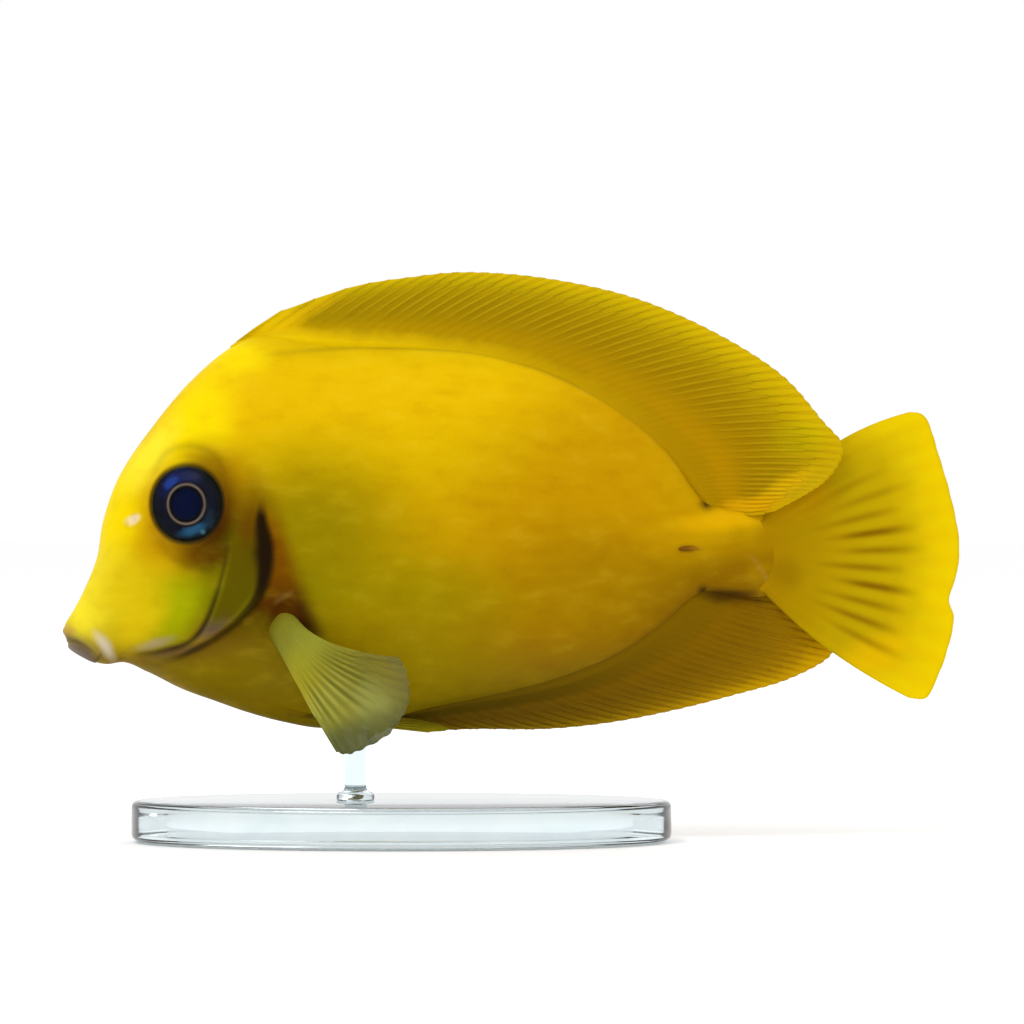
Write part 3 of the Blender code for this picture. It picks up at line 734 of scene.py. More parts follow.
@dataclass(frozen=True)
class ClearCover(Finish):
    """Clear glass or acrylic, cast and polished.

    The eye sees through it, and finds it by its highlights and its darker, bent edges.
    """

    name: str = "clear_polished_acrylic"
    ior: float = 1.49
    rough: float = 0.02
    gloss: float = 0.5
    tint: str = "#d3e1e5"

    def make(self) -> Material:
        """Clears the shader, with a few faint polishing swirls in its gloss."""
        material, tree, shader = self.open()
        inputs = {"Vector": self.place(tree), "Scale": 1 / (6.0 * MM), "Detail": 4.0, "Distortion": 1.5}
        swirl = add(tree, "ShaderNodeTexNoise", inputs).outputs["Fac"]
        white = self.level(tree, swirl, 0.3, 0.7, 0.2)
        feed(shader, {
            "Base Color": self.mix(tree, white, linear(self.tint), linear("#ffffff")),
            "Roughness": self.remap(tree, swirl, made=(self.rough * 0.5, self.rough * 1.5)),
            "IOR": self.ior,
            "Specular IOR Level": self.gloss,
            "Transmission Weight": 1.0,
        })
        return material


@dataclass(frozen=True)
class HornBlade(Finish):
    """Carved horn, oiled.

    The eye sees a blade that turns from brown at its point to amber at its root, streaked and of low gloss.
    """

    name: str = "oiled_horn"
    reach: Pair = (-1.5, 1.3)
    stops: Stops = ((0.2, "#6a4000"), (0.55, "#764a00"), (0.85, "#946a02"), (1.1, "#a87c02"))

    def make(self) -> Material:
        """Streaks the horn along its length and turns it amber towards its root."""
        material, tree, shader = self.open()
        place = self.place(tree)
        stretched = add(tree, "ShaderNodeMapping", {"Vector": place, "Scale": (0.15, 1.0, 1.0)}).outputs[0]
        streaks = self.noise(tree, stretched, 0.25, 2.0).outputs["Fac"]
        length = add(tree, "ShaderNodeSeparateXYZ", {0: place}).outputs["X"]
        start, end = (BLADE_CENTRE[0] + step for step in self.reach)
        inputs = {0: streaks, 1: 0.3, 2: self.remap(tree, length, (start * MM, end * MM))}
        share = add(tree, "ShaderNodeMath", inputs, operation="MULTIPLY_ADD").outputs[0]
        feed(shader, {
            "Base Color": self.ramp(tree, share, self.stops),
            "Roughness": 0.45,
            "IOR": 1.54,
            "Specular IOR Level": 0.06,
        })
        return material


@dataclass(frozen=True)
class Fold:
    """A line pressed into the skin or raised from it, seen from the side.

    height is below 0 for a groove, and rim raises its two banks. shade is the painted shade that darkens it,
    and pale the paler paint on it. Where fade is set, it runs out at both ends.
    """

    line: tuple[Pair, ...]
    height: float
    width: float
    shade: float = 0.0
    rim: float = 0.0
    pale: float = 0.0
    fade: bool = True


@dataclass(frozen=True)
class Pit:
    """A round hollow with a raised rim, seen from the side, with painted shade in it."""

    x: float
    z: float
    radius: float
    depth: float
    rim: float
    shade: float


@dataclass(frozen=True)
class Lip:
    """A cord of flesh from the snout's middle to the mouth's corner, as rows of x, y, z and radius."""

    rows: tuple[tuple[float, float, float, float], ...]


@dataclass
class Skin:
    """One skin from snout to tail, with the head's bones, folds, lips and eye cups worked into it."""

    name: str = "skin"
    half_sides: int = 148
    head_step: float = 0.24
    trunk_step: float = 0.39
    gill_lift: float = 0.45
    gill_reach: float = 3.0
    gill_top: float = 35.0
    gill_step: float = 0.32
    gill_groove: float = 0.25
    band_top: float = 34.2
    shoulder_soft: float = 2.4
    flank_fade: float = 0.35
    socket_depth: float = 1.35
    socket_rim: float = 0.24
    shadow_turn: float = 25.0
    lip_most: float = 0.7
    slit_depth: float = 0.1
    folds: tuple[Fold, ...] = (
        # The cheek's line, the brow, the line under the eye and the corner of the snout.
        Fold(
            ((-28.05, 29.5), (-28.55, 27.0), (-29.55, 23.6), (-30.75, 21.1), (-32.4, 19.7), (-34.9, 18.95),
             (-37.2, 18.6)),
            -0.26, 0.24, 0.8, 0.07,
        ),
        Fold(
            ((-35.7, 36.6), (-34.3, 38.7), (-31.9, 39.4), (-29.5, 38.5), (-28.3, 36.4)),
            -0.14, 0.35, 0.25, 0.1,
        ),
        Fold(((-35.6, 30.6), (-33.0, 27.9), (-29.4, 26.8)), -0.1, 0.4, 0.15, 0.05),
        Fold(((-41.9, 22.4), (-40.9, 20.9), (-39.6, 19.0)), -0.08, 0.3, 0.06, 0.03),
        # The grooves along the roots of the dorsal and anal fins, and the edge at the tail fin.
        Fold(
            ((-24.75, 48.4), (-19.15, 49.0), (-15.15, 49.25), (-11.15, 49.25), (-7.15, 49.1), (-3.15, 48.7),
             (0.85, 47.75), (4.85, 46.25), (8.85, 44.25), (12.05, 42.1), (15.25, 39.2), (17.25, 36.8),
             (19.25, 33.6)),
            -0.1, 0.28, 0.4,
        ),
        Fold(
            ((-11.65, 13.1), (-3.15, 14.4), (4.85, 16.1), (10.85, 18.8), (14.85, 21.7), (17.85, 24.1),
             (19.25, 25.0)),
            -0.1, 0.3, 0.2,
        ),
        Fold(((23.9, 28.7), (24.9, 27.0), (26.3, 25.2)), 0.05, 0.16, 0.0, 0.0, 0.15),
        # The flesh round the pectoral fin's root: two ridges before it and a hollow behind.
        Fold(((-24.9, 20.6), (-24.2, 22.4), (-23.3, 23.9), (-22.0, 24.6)), 0.35, 0.55),
        Fold(((-23.5, 23.7), (-22.4, 24.5), (-21.5, 24.9)), 0.2, 0.25, 0.0, 0.0, 0.12),
        Fold(((-21.6, 24.6), (-20.5, 22.8), (-19.1, 20.0)), -0.45, 0.65, 0.4),
        # The shoulder's edge, the side line, the tail blade's slot and the hollow under the tail.
        Fold(SHOULDER_EDGE, 0.14, 0.35),
        Fold(
            ((-24.0, 38.2), (-17.0, 42.3), (-8.0, 42.8), (1.0, 40.4), (9.0, 36.3), (15.0, 32.2),
             (20.5, 30.1)),
            0.04, 0.25, 0.02,
        ),
        Fold(((16.6, 29.05), (17.3, 29.12), (18.2, 29.1)), -0.4, 0.28, 0.9, 0.06),
        Fold(((19.0, 24.9), (21.5, 24.7), (24.8, 24.6)), -0.08, 0.45, 0.75),
    )
    gill_widths: tuple[Pair, ...] = (
        (0.4, 0.1), (0.44, 0.7), (0.48, 1.35), (0.525, 1.75), (0.56, 1.3), (0.6, 0.9), (0.64, 0.6),
        (0.7, 0.42), (0.77, 0.36), (0.84, 0.3), (0.93, 0.25),
    )
    pits: tuple[Pit, ...] = (
        Pit(-37.45, 32.15, 0.34, 0.4, 0.12, 0.25),
        Pit(-38.2, 31.65, 0.26, 0.35, 0.1, 0.2),
        Pit(19.45, 33.65, 0.6, 0.45, 0.0, 0.95),
        Pit(19.1, 24.95, 0.5, 0.35, 0.0, 0.95),
    )
    lips: tuple[Lip, ...] = (
        Lip((
            (-44.25, 0.0, 20.9, 0.6), (-43.75, 1.2, 20.65, 0.56), (-42.8, 1.75, 20.2, 0.48),
            (-41.9, 1.9, 19.5, 0.38), (-41.2, 1.95, 18.7, 0.26),
        )),
        Lip((
            (-44.0, 0.0, 20.2, 0.56), (-43.5, 1.1, 19.95, 0.52), (-42.75, 1.62, 19.45, 0.46),
            (-41.95, 1.72, 18.85, 0.36), (-41.4, 1.75, 18.35, 0.24),
        )),
        Lip((
            (-43.75, 0.0, 19.5, 0.6), (-43.3, 1.0, 19.2, 0.56), (-42.6, 1.45, 18.7, 0.5),
            (-41.95, 1.55, 18.2, 0.36), (-41.5, 1.55, 17.95, 0.22),
        )),
    )
    mouth: tuple[tuple[float, float, float], ...] = (
        (-44.7, 0.0, 20.25), (-44.1, 1.25, 20.1), (-43.3, 1.75, 19.8), (-42.5, 2.0, 19.3),
        (-41.85, 2.05, 18.7), (-41.35, 2.05, 18.1),
    )

    def rings(self) -> np.ndarray:
        """The rings' places along the body, closer together on the head."""
        places = []
        for start, (here, there) in enumerate(zip(SECTIONS[:-1], SECTIONS[1:])):
            change = np.abs(there - here)
            length = max(math.hypot(change[0], change[1]), math.hypot(change[2], change[3]), change[4])
            step = self.head_step if start < HEAD_SECTIONS else self.trunk_step
            count = math.ceil(length / step)
            places.extend(start + i / count for i in range(count))
        return np.array(places[1:]) / (len(SECTIONS) - 1)

    def angles(self) -> np.ndarray:
        """Angles round the body, evenly spaced over the skin of the middle of the flank."""
        fine = np.linspace(0, math.pi, 2000)
        ring = body_points(np.full(len(fine), 0.5), fine)
        length = np.concatenate(([0], np.cumsum(np.linalg.norm(np.diff(ring, axis=0), axis=1))))
        half = np.interp(np.linspace(0, length[-1], self.half_sides + 1), length, fine)
        return np.concatenate((half, -half[-2:0:-1]))

    def gill_cover(self, seen: np.ndarray, gill: Nearness) -> tuple[np.ndarray, np.ndarray]:
        """The gill cover's raised rear edge.

        Args:
            seen: x and z of each point.
            gill: how the points lie beside that edge.

        Returns:
            How far the skin is lifted, and how much of the dark band lies on it.
        """
        ahead = gill.side * gill.distance
        fade = smooth((self.gill_top - seen[:, 1]) / 4) * smooth((gill.share - 0.98) / -0.2)
        cover = np.where(ahead > 0, hump(ahead, self.gill_reach), 1 - smooth(-ahead / self.gill_step))
        groove = self.gill_groove * hump(ahead + 0.45, 0.35)
        width = np.interp(gill.share, *np.array(self.gill_widths).T)
        band = smooth((1.4 - np.maximum(ahead, 0) / width) / 0.8) * smooth((ahead + 0.62) / 0.75)
        band = band * smooth((self.band_top - seen[:, 1]) / 2.0) * smooth((gill.share - 0.9) / -0.1)
        band = band * blend(1.0, 0.7, smooth((gill.share - 0.58) / 0.12))
        return (self.gill_lift * cover - groove) * fade, band

    def shoulder(self, seen: np.ndarray, gill: Nearness) -> np.ndarray:
        """How much of the brown between the gill cover and the shoulder's edge lies on each point."""
        edge = nearest(path(SHOULDER_EDGE, EDGE_POINTS // 2), seen)
        inside = smooth((0.5 - gill.side * gill.distance) / 0.8)
        inside = inside * smooth(0.5 + edge.side * edge.distance / self.shoulder_soft)
        behind = smooth((seen[:, 0] + 24.5) / 3.0)
        low = smooth((seen[:, 1] - blend(19.2, 18.9, behind)) / blend(5.0, 1.6, behind))
        return inside * smooth((34.5 - seen[:, 1]) / 3.5) * low

    def opercle(self, seen: np.ndarray, gill: Nearness) -> np.ndarray:
        """How much of the olive between the cheek's line and the gill cover's edge lies on each point."""
        cheek = nearest(path(self.folds[0].line, EDGE_POINTS), seen)
        between = smooth((0.1 - cheek.side * cheek.distance) / 0.9)
        between = between * smooth((gill.side * gill.distance - 0.2) / 1.0)
        return 0.9 * between * smooth((31.5 - seen[:, 1]) / 3.5) * smooth((seen[:, 1] - 20.3) / 2.6)

    def press_folds(self, seen: np.ndarray, out: np.ndarray, fields: dict[str, np.ndarray]) -> None:
        """Presses the folds and pits, and leaves their painted shade, and the folds' paler paint, in the
        fields.
        """
        for fold in self.folds:
            near = nearest(path(fold.line, 8 * len(fold.line)), seen)
            ends = np.sin(math.pi * np.clip(near.share, 0.004, 0.996)) ** 0.45 if fold.fade else 1.0
            shape = hump(near.distance, fold.width) * ends
            out += fold.height * shape + fold.rim * hump(near.distance - 2.1 * fold.width, fold.width) * ends
            fields["shade"] = np.maximum(fields["shade"], fold.shade * shape)
            fields["pale"] = np.maximum(fields["pale"], fold.pale * shape)
        for pit in self.pits:
            near = np.hypot(seen[:, 0] - pit.x, seen[:, 1] - pit.z)
            rim = pit.rim * hump(near - 1.25 * pit.radius, 0.4 * pit.radius)
            out += rim - pit.depth * hump(near, 0.8 * pit.radius)
            fields["shade"] = np.maximum(fields["shade"], pit.shade * hump(near, pit.radius))

    def press_sockets(self, seen: np.ndarray, out: np.ndarray, fields: dict[str, np.ndarray]) -> None:
        """Sinks a cup for each eye, raises the soft rim round it, paints shade into the cup and leaves a
        painted shadow behind it.
        """
        across, up = ((seen[:, i] - EYE_CENTRE[i]) / EYE_REACH[i] for i in (0, 1))
        near = np.hypot(across, up)
        out += self.socket_rim * hump(near - 1.09, 0.07) - self.socket_depth * smooth((1.0 - near) / 0.16)
        # Painted shade in the cup and on the inner side of its rim.
        fields["eye_ring"] = 0.9 * smooth((1.1 - near) / 0.09)
        facing = (1 + np.cos(np.arctan2(up, across) + math.radians(self.shadow_turn))) / 2
        fields["eye_shadow"] = 0.9 * smooth((1.75 - near) / 0.7) * facing**1.3

    def press_mouth(self, points: np.ndarray, normals: np.ndarray, out: np.ndarray, fields: dict) -> None:
        """Raises the lips and the closed mouth between them as rounded cords, and darkens round the mouth's
        line with the lips' dusky colour and painted shade in the slit.

        Args:
            points: the body's points.
            normals: the way outward at each.
            out: how far each is pushed outward, which is added to.
            fields: the points' named numbers, which are added to. The lower lip's paint is the last cord's.
        """
        folded = np.abs(points) * (0, 1, 0) + points * (1, 0, 1)
        facing = normals.copy()
        facing[points[:, 1] < 0, 1] *= -1
        for lip in self.lips:
            rows = path(lip.rows, CURVE_POINTS)
            near = nearest(rows[:, :3], folded)
            radius = np.interp(near.share, np.linspace(0, 1, len(rows)), rows[:, 3])
            rise = np.einsum("ij,ij->i", near.gap, facing)
            inside = rise**2 - near.distance**2 + radius**2
            lift = np.where(inside > 0, np.sqrt(np.maximum(inside, 0)) - rise, 0)
            out[:] = np.maximum(out, np.clip(lift, 0, self.lip_most))
            fields["lower_lip"] = smooth((radius * 2.0 - near.distance) / (1.3 * radius))
        near = nearest(path(self.mouth, CURVE_POINTS), folded)
        slit = hump(near.distance, 0.22)
        out -= self.slit_depth * slit
        fields["mouth"] = 0.85 * hump(near.distance, 0.8)
        fields["shade"] = np.maximum(fields["shade"], 0.2 * slit)

    def build(self, finish: PaintedSkin) -> Object:
        """Makes the skin, dresses it and hands it over.

        Args:
            finish: the skin's finish.

        Returns:
            The finished piece.
        """
        along, around = self.rings(), self.angles()
        rows, columns = len(along), len(around)
        points = body_points(np.repeat(along, columns), np.tile(around, rows))
        normals = grid_normals(points, rows, columns, closed=True)
        outward = np.sign(normals[:, 1] * points[:, 1])
        normals *= np.sign(np.median(outward[outward != 0]))
        seen = points[:, [0, 2]]
        gill = nearest(path(GILL_EDGE, EDGE_POINTS), seen)
        fields = {key: np.zeros(len(points)) for key in ("shade", "pale")}
        out, fields["gill_band"] = self.gill_cover(seen, gill)
        fields["shoulder"] = self.shoulder(seen, gill)
        fields["opercle"] = self.opercle(seen, gill)
        self.press_folds(seen, out, fields)
        out *= np.abs(np.sin(np.tile(around, rows))) ** self.flank_fade
        self.press_sockets(seen, out, fields)
        self.press_mouth(points, normals, out, fields)
        ends = body_points(np.array((0.0, 1.0)), np.zeros(2))
        points = np.concatenate((points + normals * out[:, None], ends))
        fields = {key: np.concatenate((values, (0.0, 0.0))) for key, values in fields.items()}
        fields["mouth"][-2] = 0.9
        skin = make_piece(self.name, points, capped_faces(rows, columns), fields)
        skin.data.materials.append(finish.make())
        mount(skin, "skin", "head", "trunk", "tail_stalk")
        return skin


def keep_result(obj: Object) -> None:
    """Makes what an object's modifiers show its plain mesh."""
    graph = bpy.context.evaluated_depsgraph_get()
    mesh = bpy.data.meshes.new_from_object(obj.evaluated_get(graph))
    obj.modifiers.clear()
    mesh.name = obj.name
    obj.data = mesh


def run_tree(obj: Object, tree: NodeTree, values: dict[str, object]) -> None:
    """Runs a Geometry Nodes tree on an object and keeps its result as a plain mesh.

    Args:
        obj: the object whose mesh goes in and is replaced.
        tree: the node tree.
        values: the tree's inputs by name.
    """
    modifier = obj.modifiers.new(tree.name, "NODES")
    modifier.node_group = tree
    for item in tree.interface.items_tree:
        if item.in_out == "INPUT" and item.name in values:
            modifier[item.identifier] = values[item.name]
    keep_result(obj)


def open_tree(name: str, kinds: dict[str, str]) -> tuple[NodeTree, bpy_prop_collection]:
    """A new Geometry Nodes tree that gives out one geometry.

    Args:
        name: the tree's name.
        kinds: the kind of each input's socket, by the input's name.

    Returns:
        The tree, and the sockets of its inputs.
    """
    tree = bpy.data.node_groups.new(name, "GeometryNodeTree")
    tree.interface.new_socket("Geometry", in_out="OUTPUT", socket_type="NodeSocketGeometry")
    for key, kind in kinds.items():
        tree.interface.new_socket(key, in_out="INPUT", socket_type=f"NodeSocket{kind}")
    return tree, add(tree, "NodeGroupInput").outputs


def close_tree(tree: NodeTree, shape: NodeSocket, finish: NodeSocket) -> None:
    """Makes a tree's shape real, dresses it in its finish and gives it out."""
    real = add(tree, "GeometryNodeRealizeInstances", {"Geometry": shape})
    dressed = add(tree, "GeometryNodeSetMaterial", {"Geometry": real.outputs[0], "Material": finish})
    add(tree, "NodeGroupOutput", {0: dressed.outputs[0]})


class Sweep:
    """A Geometry Nodes tree that sweeps a round section along a mesh's lines, as thick as the lines say."""

    def __init__(self) -> None:
        """Builds the tree once; every ray and the stand's rod use it."""
        kinds = {"Lines": "Geometry", "Sides": "Int", "Swell": "Float", "Finish": "Material"}
        tree, given = open_tree("round_sweep", kinds)
        curve = add(tree, "GeometryNodeMeshToCurve", {"Mesh": given["Lines"]})
        thick = add(tree, "GeometryNodeInputNamedAttribute", {"Name": "thickness"}, data_type="FLOAT")
        swollen = add(tree, "ShaderNodeMath", {0: thick.outputs[0], 1: given["Swell"]}, operation="MULTIPLY")
        ring = add(tree, "GeometryNodeCurvePrimitiveCircle", {"Resolution": given["Sides"], "Radius": 1.0})
        tube = add(tree, "GeometryNodeCurveToMesh", {
            "Curve": curve.outputs[0],
            "Profile Curve": ring.outputs[0],
            "Scale": swollen.outputs[0],
            "Fill Caps": True,
        })
        soft = add(tree, "GeometryNodeSetShadeSmooth", {"Geometry": tube.outputs[0]})
        close_tree(tree, soft.outputs[0], given["Finish"])
        self.tree = tree

    def run(
        self, name: str, points: np.ndarray, lines: list, fields: dict, sides: int, finish: Material
    ) -> Object:
        """Sweeps lines into closed tubes.

        Args:
            name: the piece's name.
            points: the lines' points in millimetres.
            lines: pairs of point numbers.
            fields: named numbers for each point; thickness is the tube's radius in metres.
            sides: how many sides the tube has.
            finish: the material.

        Returns:
            A plain mesh object.
        """
        obj = make_piece(name, points, [], fields, lines)
        run_tree(obj, self.tree, {"Sides": sides, "Swell": 1.0, "Finish": finish})
        return obj


@dataclass
class Fin:
    """A fin as a thin film over a fan of rays.

    rays gives root x, root z, tip x and tip z of a few rays, and the others lie between them, evenly apart
    where even is set and closer at the far end where crowd is. inward is the way to the flesh that the root
    is sunk in. sheath is the share of the rays that flesh covers, and ray_rise where they rise out of it. A
    streak of darker film lies between each two. The first few rays are spines, and the others fork in two.
    """

    name: str
    rays: tuple[tuple[float, float, float, float], ...]
    count: int
    inward: tuple[float, float, float]
    film: FinFilm
    ray_finish: FinFilm
    spines: int = 0
    sheath: float = 0.25
    slot: str = "fin"
    root_thick: float = 1.9
    film_thick: float = 0.24
    edge_thick: float = 0.1
    ray_radius: float = 0.23
    rows: int = 44
    cells: int = 6
    root_depth: float = 1.3
    scallop: float = 0.1
    even: bool = False
    crowd: float = 0.0
    ray_rise: Pair = (0.1, 0.4)
    streak_span: Pair = (0.12, 0.95)
    streak_rise: float = 0.0
    streak_wander: float = 0.0
    streak_width: float = 1.3
    streak_soft: float = 0.2
    streak_ends: Pair = (0.1, 0.1)
    fork_at: float = 0.78
    fork_gap: float = 0.2

    def middle(self, across: np.ndarray, along: np.ndarray) -> np.ndarray:
        """Points of the fin's middle sheet, across its rays and along them."""
        raise NotImplementedError

    def end_share(self, across: np.ndarray) -> np.ndarray:
        """How much of the far end's tint each ray has."""
        return smooth(across * 1.3 - 0.1)

    def placed(self, number: np.ndarray) -> np.ndarray:
        """Where the rays lie, first to last: as given, or evenly apart half way up and crowded at the end."""
        if not self.even:
            return number
        fine = np.linspace(0, 1, 400)
        low, high = (self.middle(fine, np.full(400, along)) for along in (0.45, 0.6))
        run = (high - low) / np.linalg.norm(high - low, axis=1)[:, None]
        step = np.diff((low + high) / 2, axis=0)
        step -= np.einsum("ij,ij->i", step, run[1:])[:, None] * run[1:]
        step *= 1 + self.crowd * smooth((fine[1:, None] - 0.8) / 0.2)
        length = np.concatenate(([0.0], np.cumsum(np.linalg.norm(step, axis=1))))
        return np.interp(number, length / length[-1], fine)

    def streak(self, number: np.ndarray, along: np.ndarray, cell: np.ndarray) -> np.ndarray:
        """The dark streak between each two rays, each a little longer or stronger than the next."""
        index = np.floor(number * (self.count - 1) + 1e-6)
        shift = self.streak_wander * np.sin(index * 2.4 + 0.7)
        low = self.streak_span[0] + self.streak_rise * number
        line = np.abs(np.sin(math.pi * cell)) ** self.streak_width
        line = line * smooth((along - low - shift) / self.streak_soft)
        line = line * smooth((self.streak_span[1] + shift - along) / self.streak_soft)
        ends = smooth(number / self.streak_ends[0]) * smooth((1 - number) / self.streak_ends[1])
        return line * ends * (0.82 + 0.18 * np.sin(index * 4.1))

    def ends(self, across: np.ndarray) -> tuple[np.ndarray, np.ndarray]:
        """Roots and tips of the rays as x, 0, z."""
        row = spline(np.array(self.rays), across * (len(self.rays) - 1))
        flat = np.zeros(len(row))
        return np.stack((row[:, 0], flat, row[:, 1]), axis=1), np.stack((row[:, 2], flat, row[:, 3]), axis=1)

    def thickness(self, across: np.ndarray, along: np.ndarray, cell: np.ndarray) -> np.ndarray:
        """From the fleshy base over the film, thinnest between two rays, to the free edge."""
        film = blend(self.film_thick, self.edge_thick, smooth((along - self.sheath) / (1 - self.sheath)))
        film = film * (1 - 0.4 * np.sin(math.pi * cell) ** 2)
        flesh = film + (self.root_thick - film) * np.sqrt(np.clip(1 - np.abs(2 * across - 1) ** 5, 0.0, 1.0))
        return blend(flesh, film, smooth(along / self.sheath) ** 0.6)

    def build_film(self, side: Side) -> Object:
        """Makes the film as a closed shell.

        Args:
            side: the side it is on, or LEFT for a fin in the middle.

        Returns:
            The film's mesh object.
        """
        columns = (self.count - 1) * self.cells + 1
        shares = np.concatenate(((-1.0,), np.linspace(0, 1, self.rows)))
        number = np.tile(np.linspace(0, 1, columns), len(shares))
        across = self.placed(number)
        along = np.repeat(shares, columns)
        cell = np.tile(np.arange(columns) / self.cells % 1.0, len(shares))
        root, tip = self.ends(across)
        drawn_in = self.scallop / np.linalg.norm(tip - root, axis=1) * np.sin(math.pi * cell) ** 2
        clipped = np.clip(along, 0, 1)
        mid = self.middle(across, clipped * (1 - drawn_in * clipped**3))
        normals = grid_normals(mid, len(shares), columns)
        normals[:columns] = normals[columns : 2 * columns]
        mid += np.array(self.inward) * (np.maximum(-along, 0) * self.root_depth)[:, None]
        half = self.thickness(across, clipped, cell)[:, None] / 2
        points = np.concatenate((mid + normals * half, mid - normals * half))
        size = len(mid)
        front = grid_faces(len(shares), columns)
        faces = front + [tuple(size + i for i in reversed(face)) for face in front]
        bottom = list(range(columns))
        top = [size - columns + i for i in range(columns)]
        first = [r * columns for r in range(len(shares))]
        last = [r * columns + columns - 1 for r in range(len(shares))]
        for rim, flip in ((bottom, False), (top, True), (first, True), (last, False)):
            for a, b in zip(rim[:-1], rim[1:]):
                faces.append((a, b, b + size, a + size) if flip else (b, a, a + size, b + size))
        streak = self.streak(number, clipped, cell)
        fields = {"along": clipped, "end": self.end_share(across), "streak": streak}
        fields = {key: np.tile(values, 2) for key, values in fields.items()}
        points[:, 1] *= -side.value
        return make_piece(f"{self.name}_film", points, faces, fields)

    def ray_lines(self) -> list[tuple[np.ndarray, np.ndarray, np.ndarray]]:
        """Each ray and its two twigs as places from the first ray to the last, along it, and its radius."""
        lines = []
        gap = 1 / (self.count - 1)
        for number in range(self.count):
            spine = number < self.spines
            fork = 1.0 if spine else self.fork_at + 0.04 * math.sin(number * 1.7)
            taper = 0.7 if spine else 0.4
            stem = np.linspace(self.ray_rise[0], min(fork + 0.02, 1.0), STEM_POINTS)
            lines.append((np.full(STEM_POINTS, number * gap), stem, self.ray_radius * (1.05 - taper * stem)))
            for turn in () if spine else (-self.fork_gap, self.fork_gap):
                twig = np.linspace(fork, 1.0, TWIG_POINTS)
                spread = (number + turn * smooth((twig - fork) / 0.3)) * gap
                lines.append((spread, twig, self.ray_radius * (0.95 - 0.7 * twig)))
        return lines

    def build_rays(self, side: Side, sweep: Sweep, finish: Material) -> Object:
        """Sweeps all rays and their branches.

        Args:
            side: the side it is on.
            sweep: the tree that sweeps them.
            finish: the rays' material.

        Returns:
            The rays as one plain mesh object.
        """
        lines = self.ray_lines()
        across = self.placed(np.clip(np.concatenate([line[0] for line in lines]), 0, 1))
        along = np.concatenate([line[1] for line in lines])
        low, high = self.ray_rise
        risen = 0.3 + 0.7 * smooth((along - low) / (high - low))
        radius = np.concatenate([line[2] for line in lines]) * risen
        points = self.middle(across, along)
        points[:, 1] *= -side.value
        edges, start = [], 0
        for line in lines:
            edges += [(start + i, start + i + 1) for i in range(len(line[0]) - 1)]
            start += len(line[0])
        fields = {"along": along, "end": self.end_share(across), "thickness": radius * MM}
        return sweep.run(f"{self.name}_rays", points, edges, fields, RAY_SIDES, finish)

    def build(self, sweep: Sweep, side: Side = Side.LEFT) -> None:
        """Makes the film and the rays and hands them over."""
        film = self.build_film(side)
        film.data.materials.append(self.film.make())
        rays = self.build_rays(side, sweep, self.ray_finish.make())
        for piece in (film, rays):
            mount(piece, self.slot, self.name)


@dataclass
class UprightFin(Fin):
    """A fin in the fish's middle plane. Its rays bow within the plane and lean out of it."""

    bow_front: float = 0.0
    bow_rear: float = 0.0
    lean_far: float = 0.0
    lean_from: float = 0.45
    twist: float = 0.0
    axis_z: float = 28.4

    def bow(self, across: np.ndarray) -> np.ndarray:
        """How far the middle of each ray rises above the straight line."""
        return blend(self.bow_front, self.bow_rear, smooth(across))

    def lean(self, across: np.ndarray, z: np.ndarray) -> np.ndarray:
        """How far each ray's tip leans to the fish's left."""
        return self.lean_far * smooth((across - self.lean_from) / 0.5) + self.twist * (self.axis_z - z)

    def middle(self, across: np.ndarray, along: np.ndarray) -> np.ndarray:
        """Points of the fin's middle sheet, across its rays and along them."""
        root, tip = self.ends(across)
        up = np.stack((root[:, 2] - tip[:, 2], np.zeros(len(root)), tip[:, 0] - root[:, 0]), axis=1)
        up /= np.linalg.norm(up, axis=1)[:, None]
        point = blend(root, tip, along[:, None]) + up * (self.bow(across) * 4 * along * (1 - along))[:, None]
        point[:, 1] = -self.lean(across, point[:, 2]) * along**2
        return point


@dataclass
class DorsalFin(UprightFin):
    """The fin of the back. Its rays bow up behind the first few, and the last ones sag."""

    def bow(self, across: np.ndarray) -> np.ndarray:
        """How far the middle of each ray rises above the straight line."""
        return self.bow_rear * smooth(across * 4) * (1 - 1.8 * smooth((across - 0.88) / 0.12))


@dataclass
class TailFin(UprightFin):
    """The tail fin, whose upper rays bow up and whose lower rays bow down."""

    def bow(self, across: np.ndarray) -> np.ndarray:
        """How far the middle of each ray rises above the straight line."""
        return self.bow_front * smooth(1 - across * 2.5) + self.bow_rear * smooth((across - 0.6) * 2.5)

    def end_share(self, across: np.ndarray) -> np.ndarray:
        """How much of the outer rays' tint each ray has."""
        return smooth(np.abs(2 * across - 1) * 1.8 - 0.9)


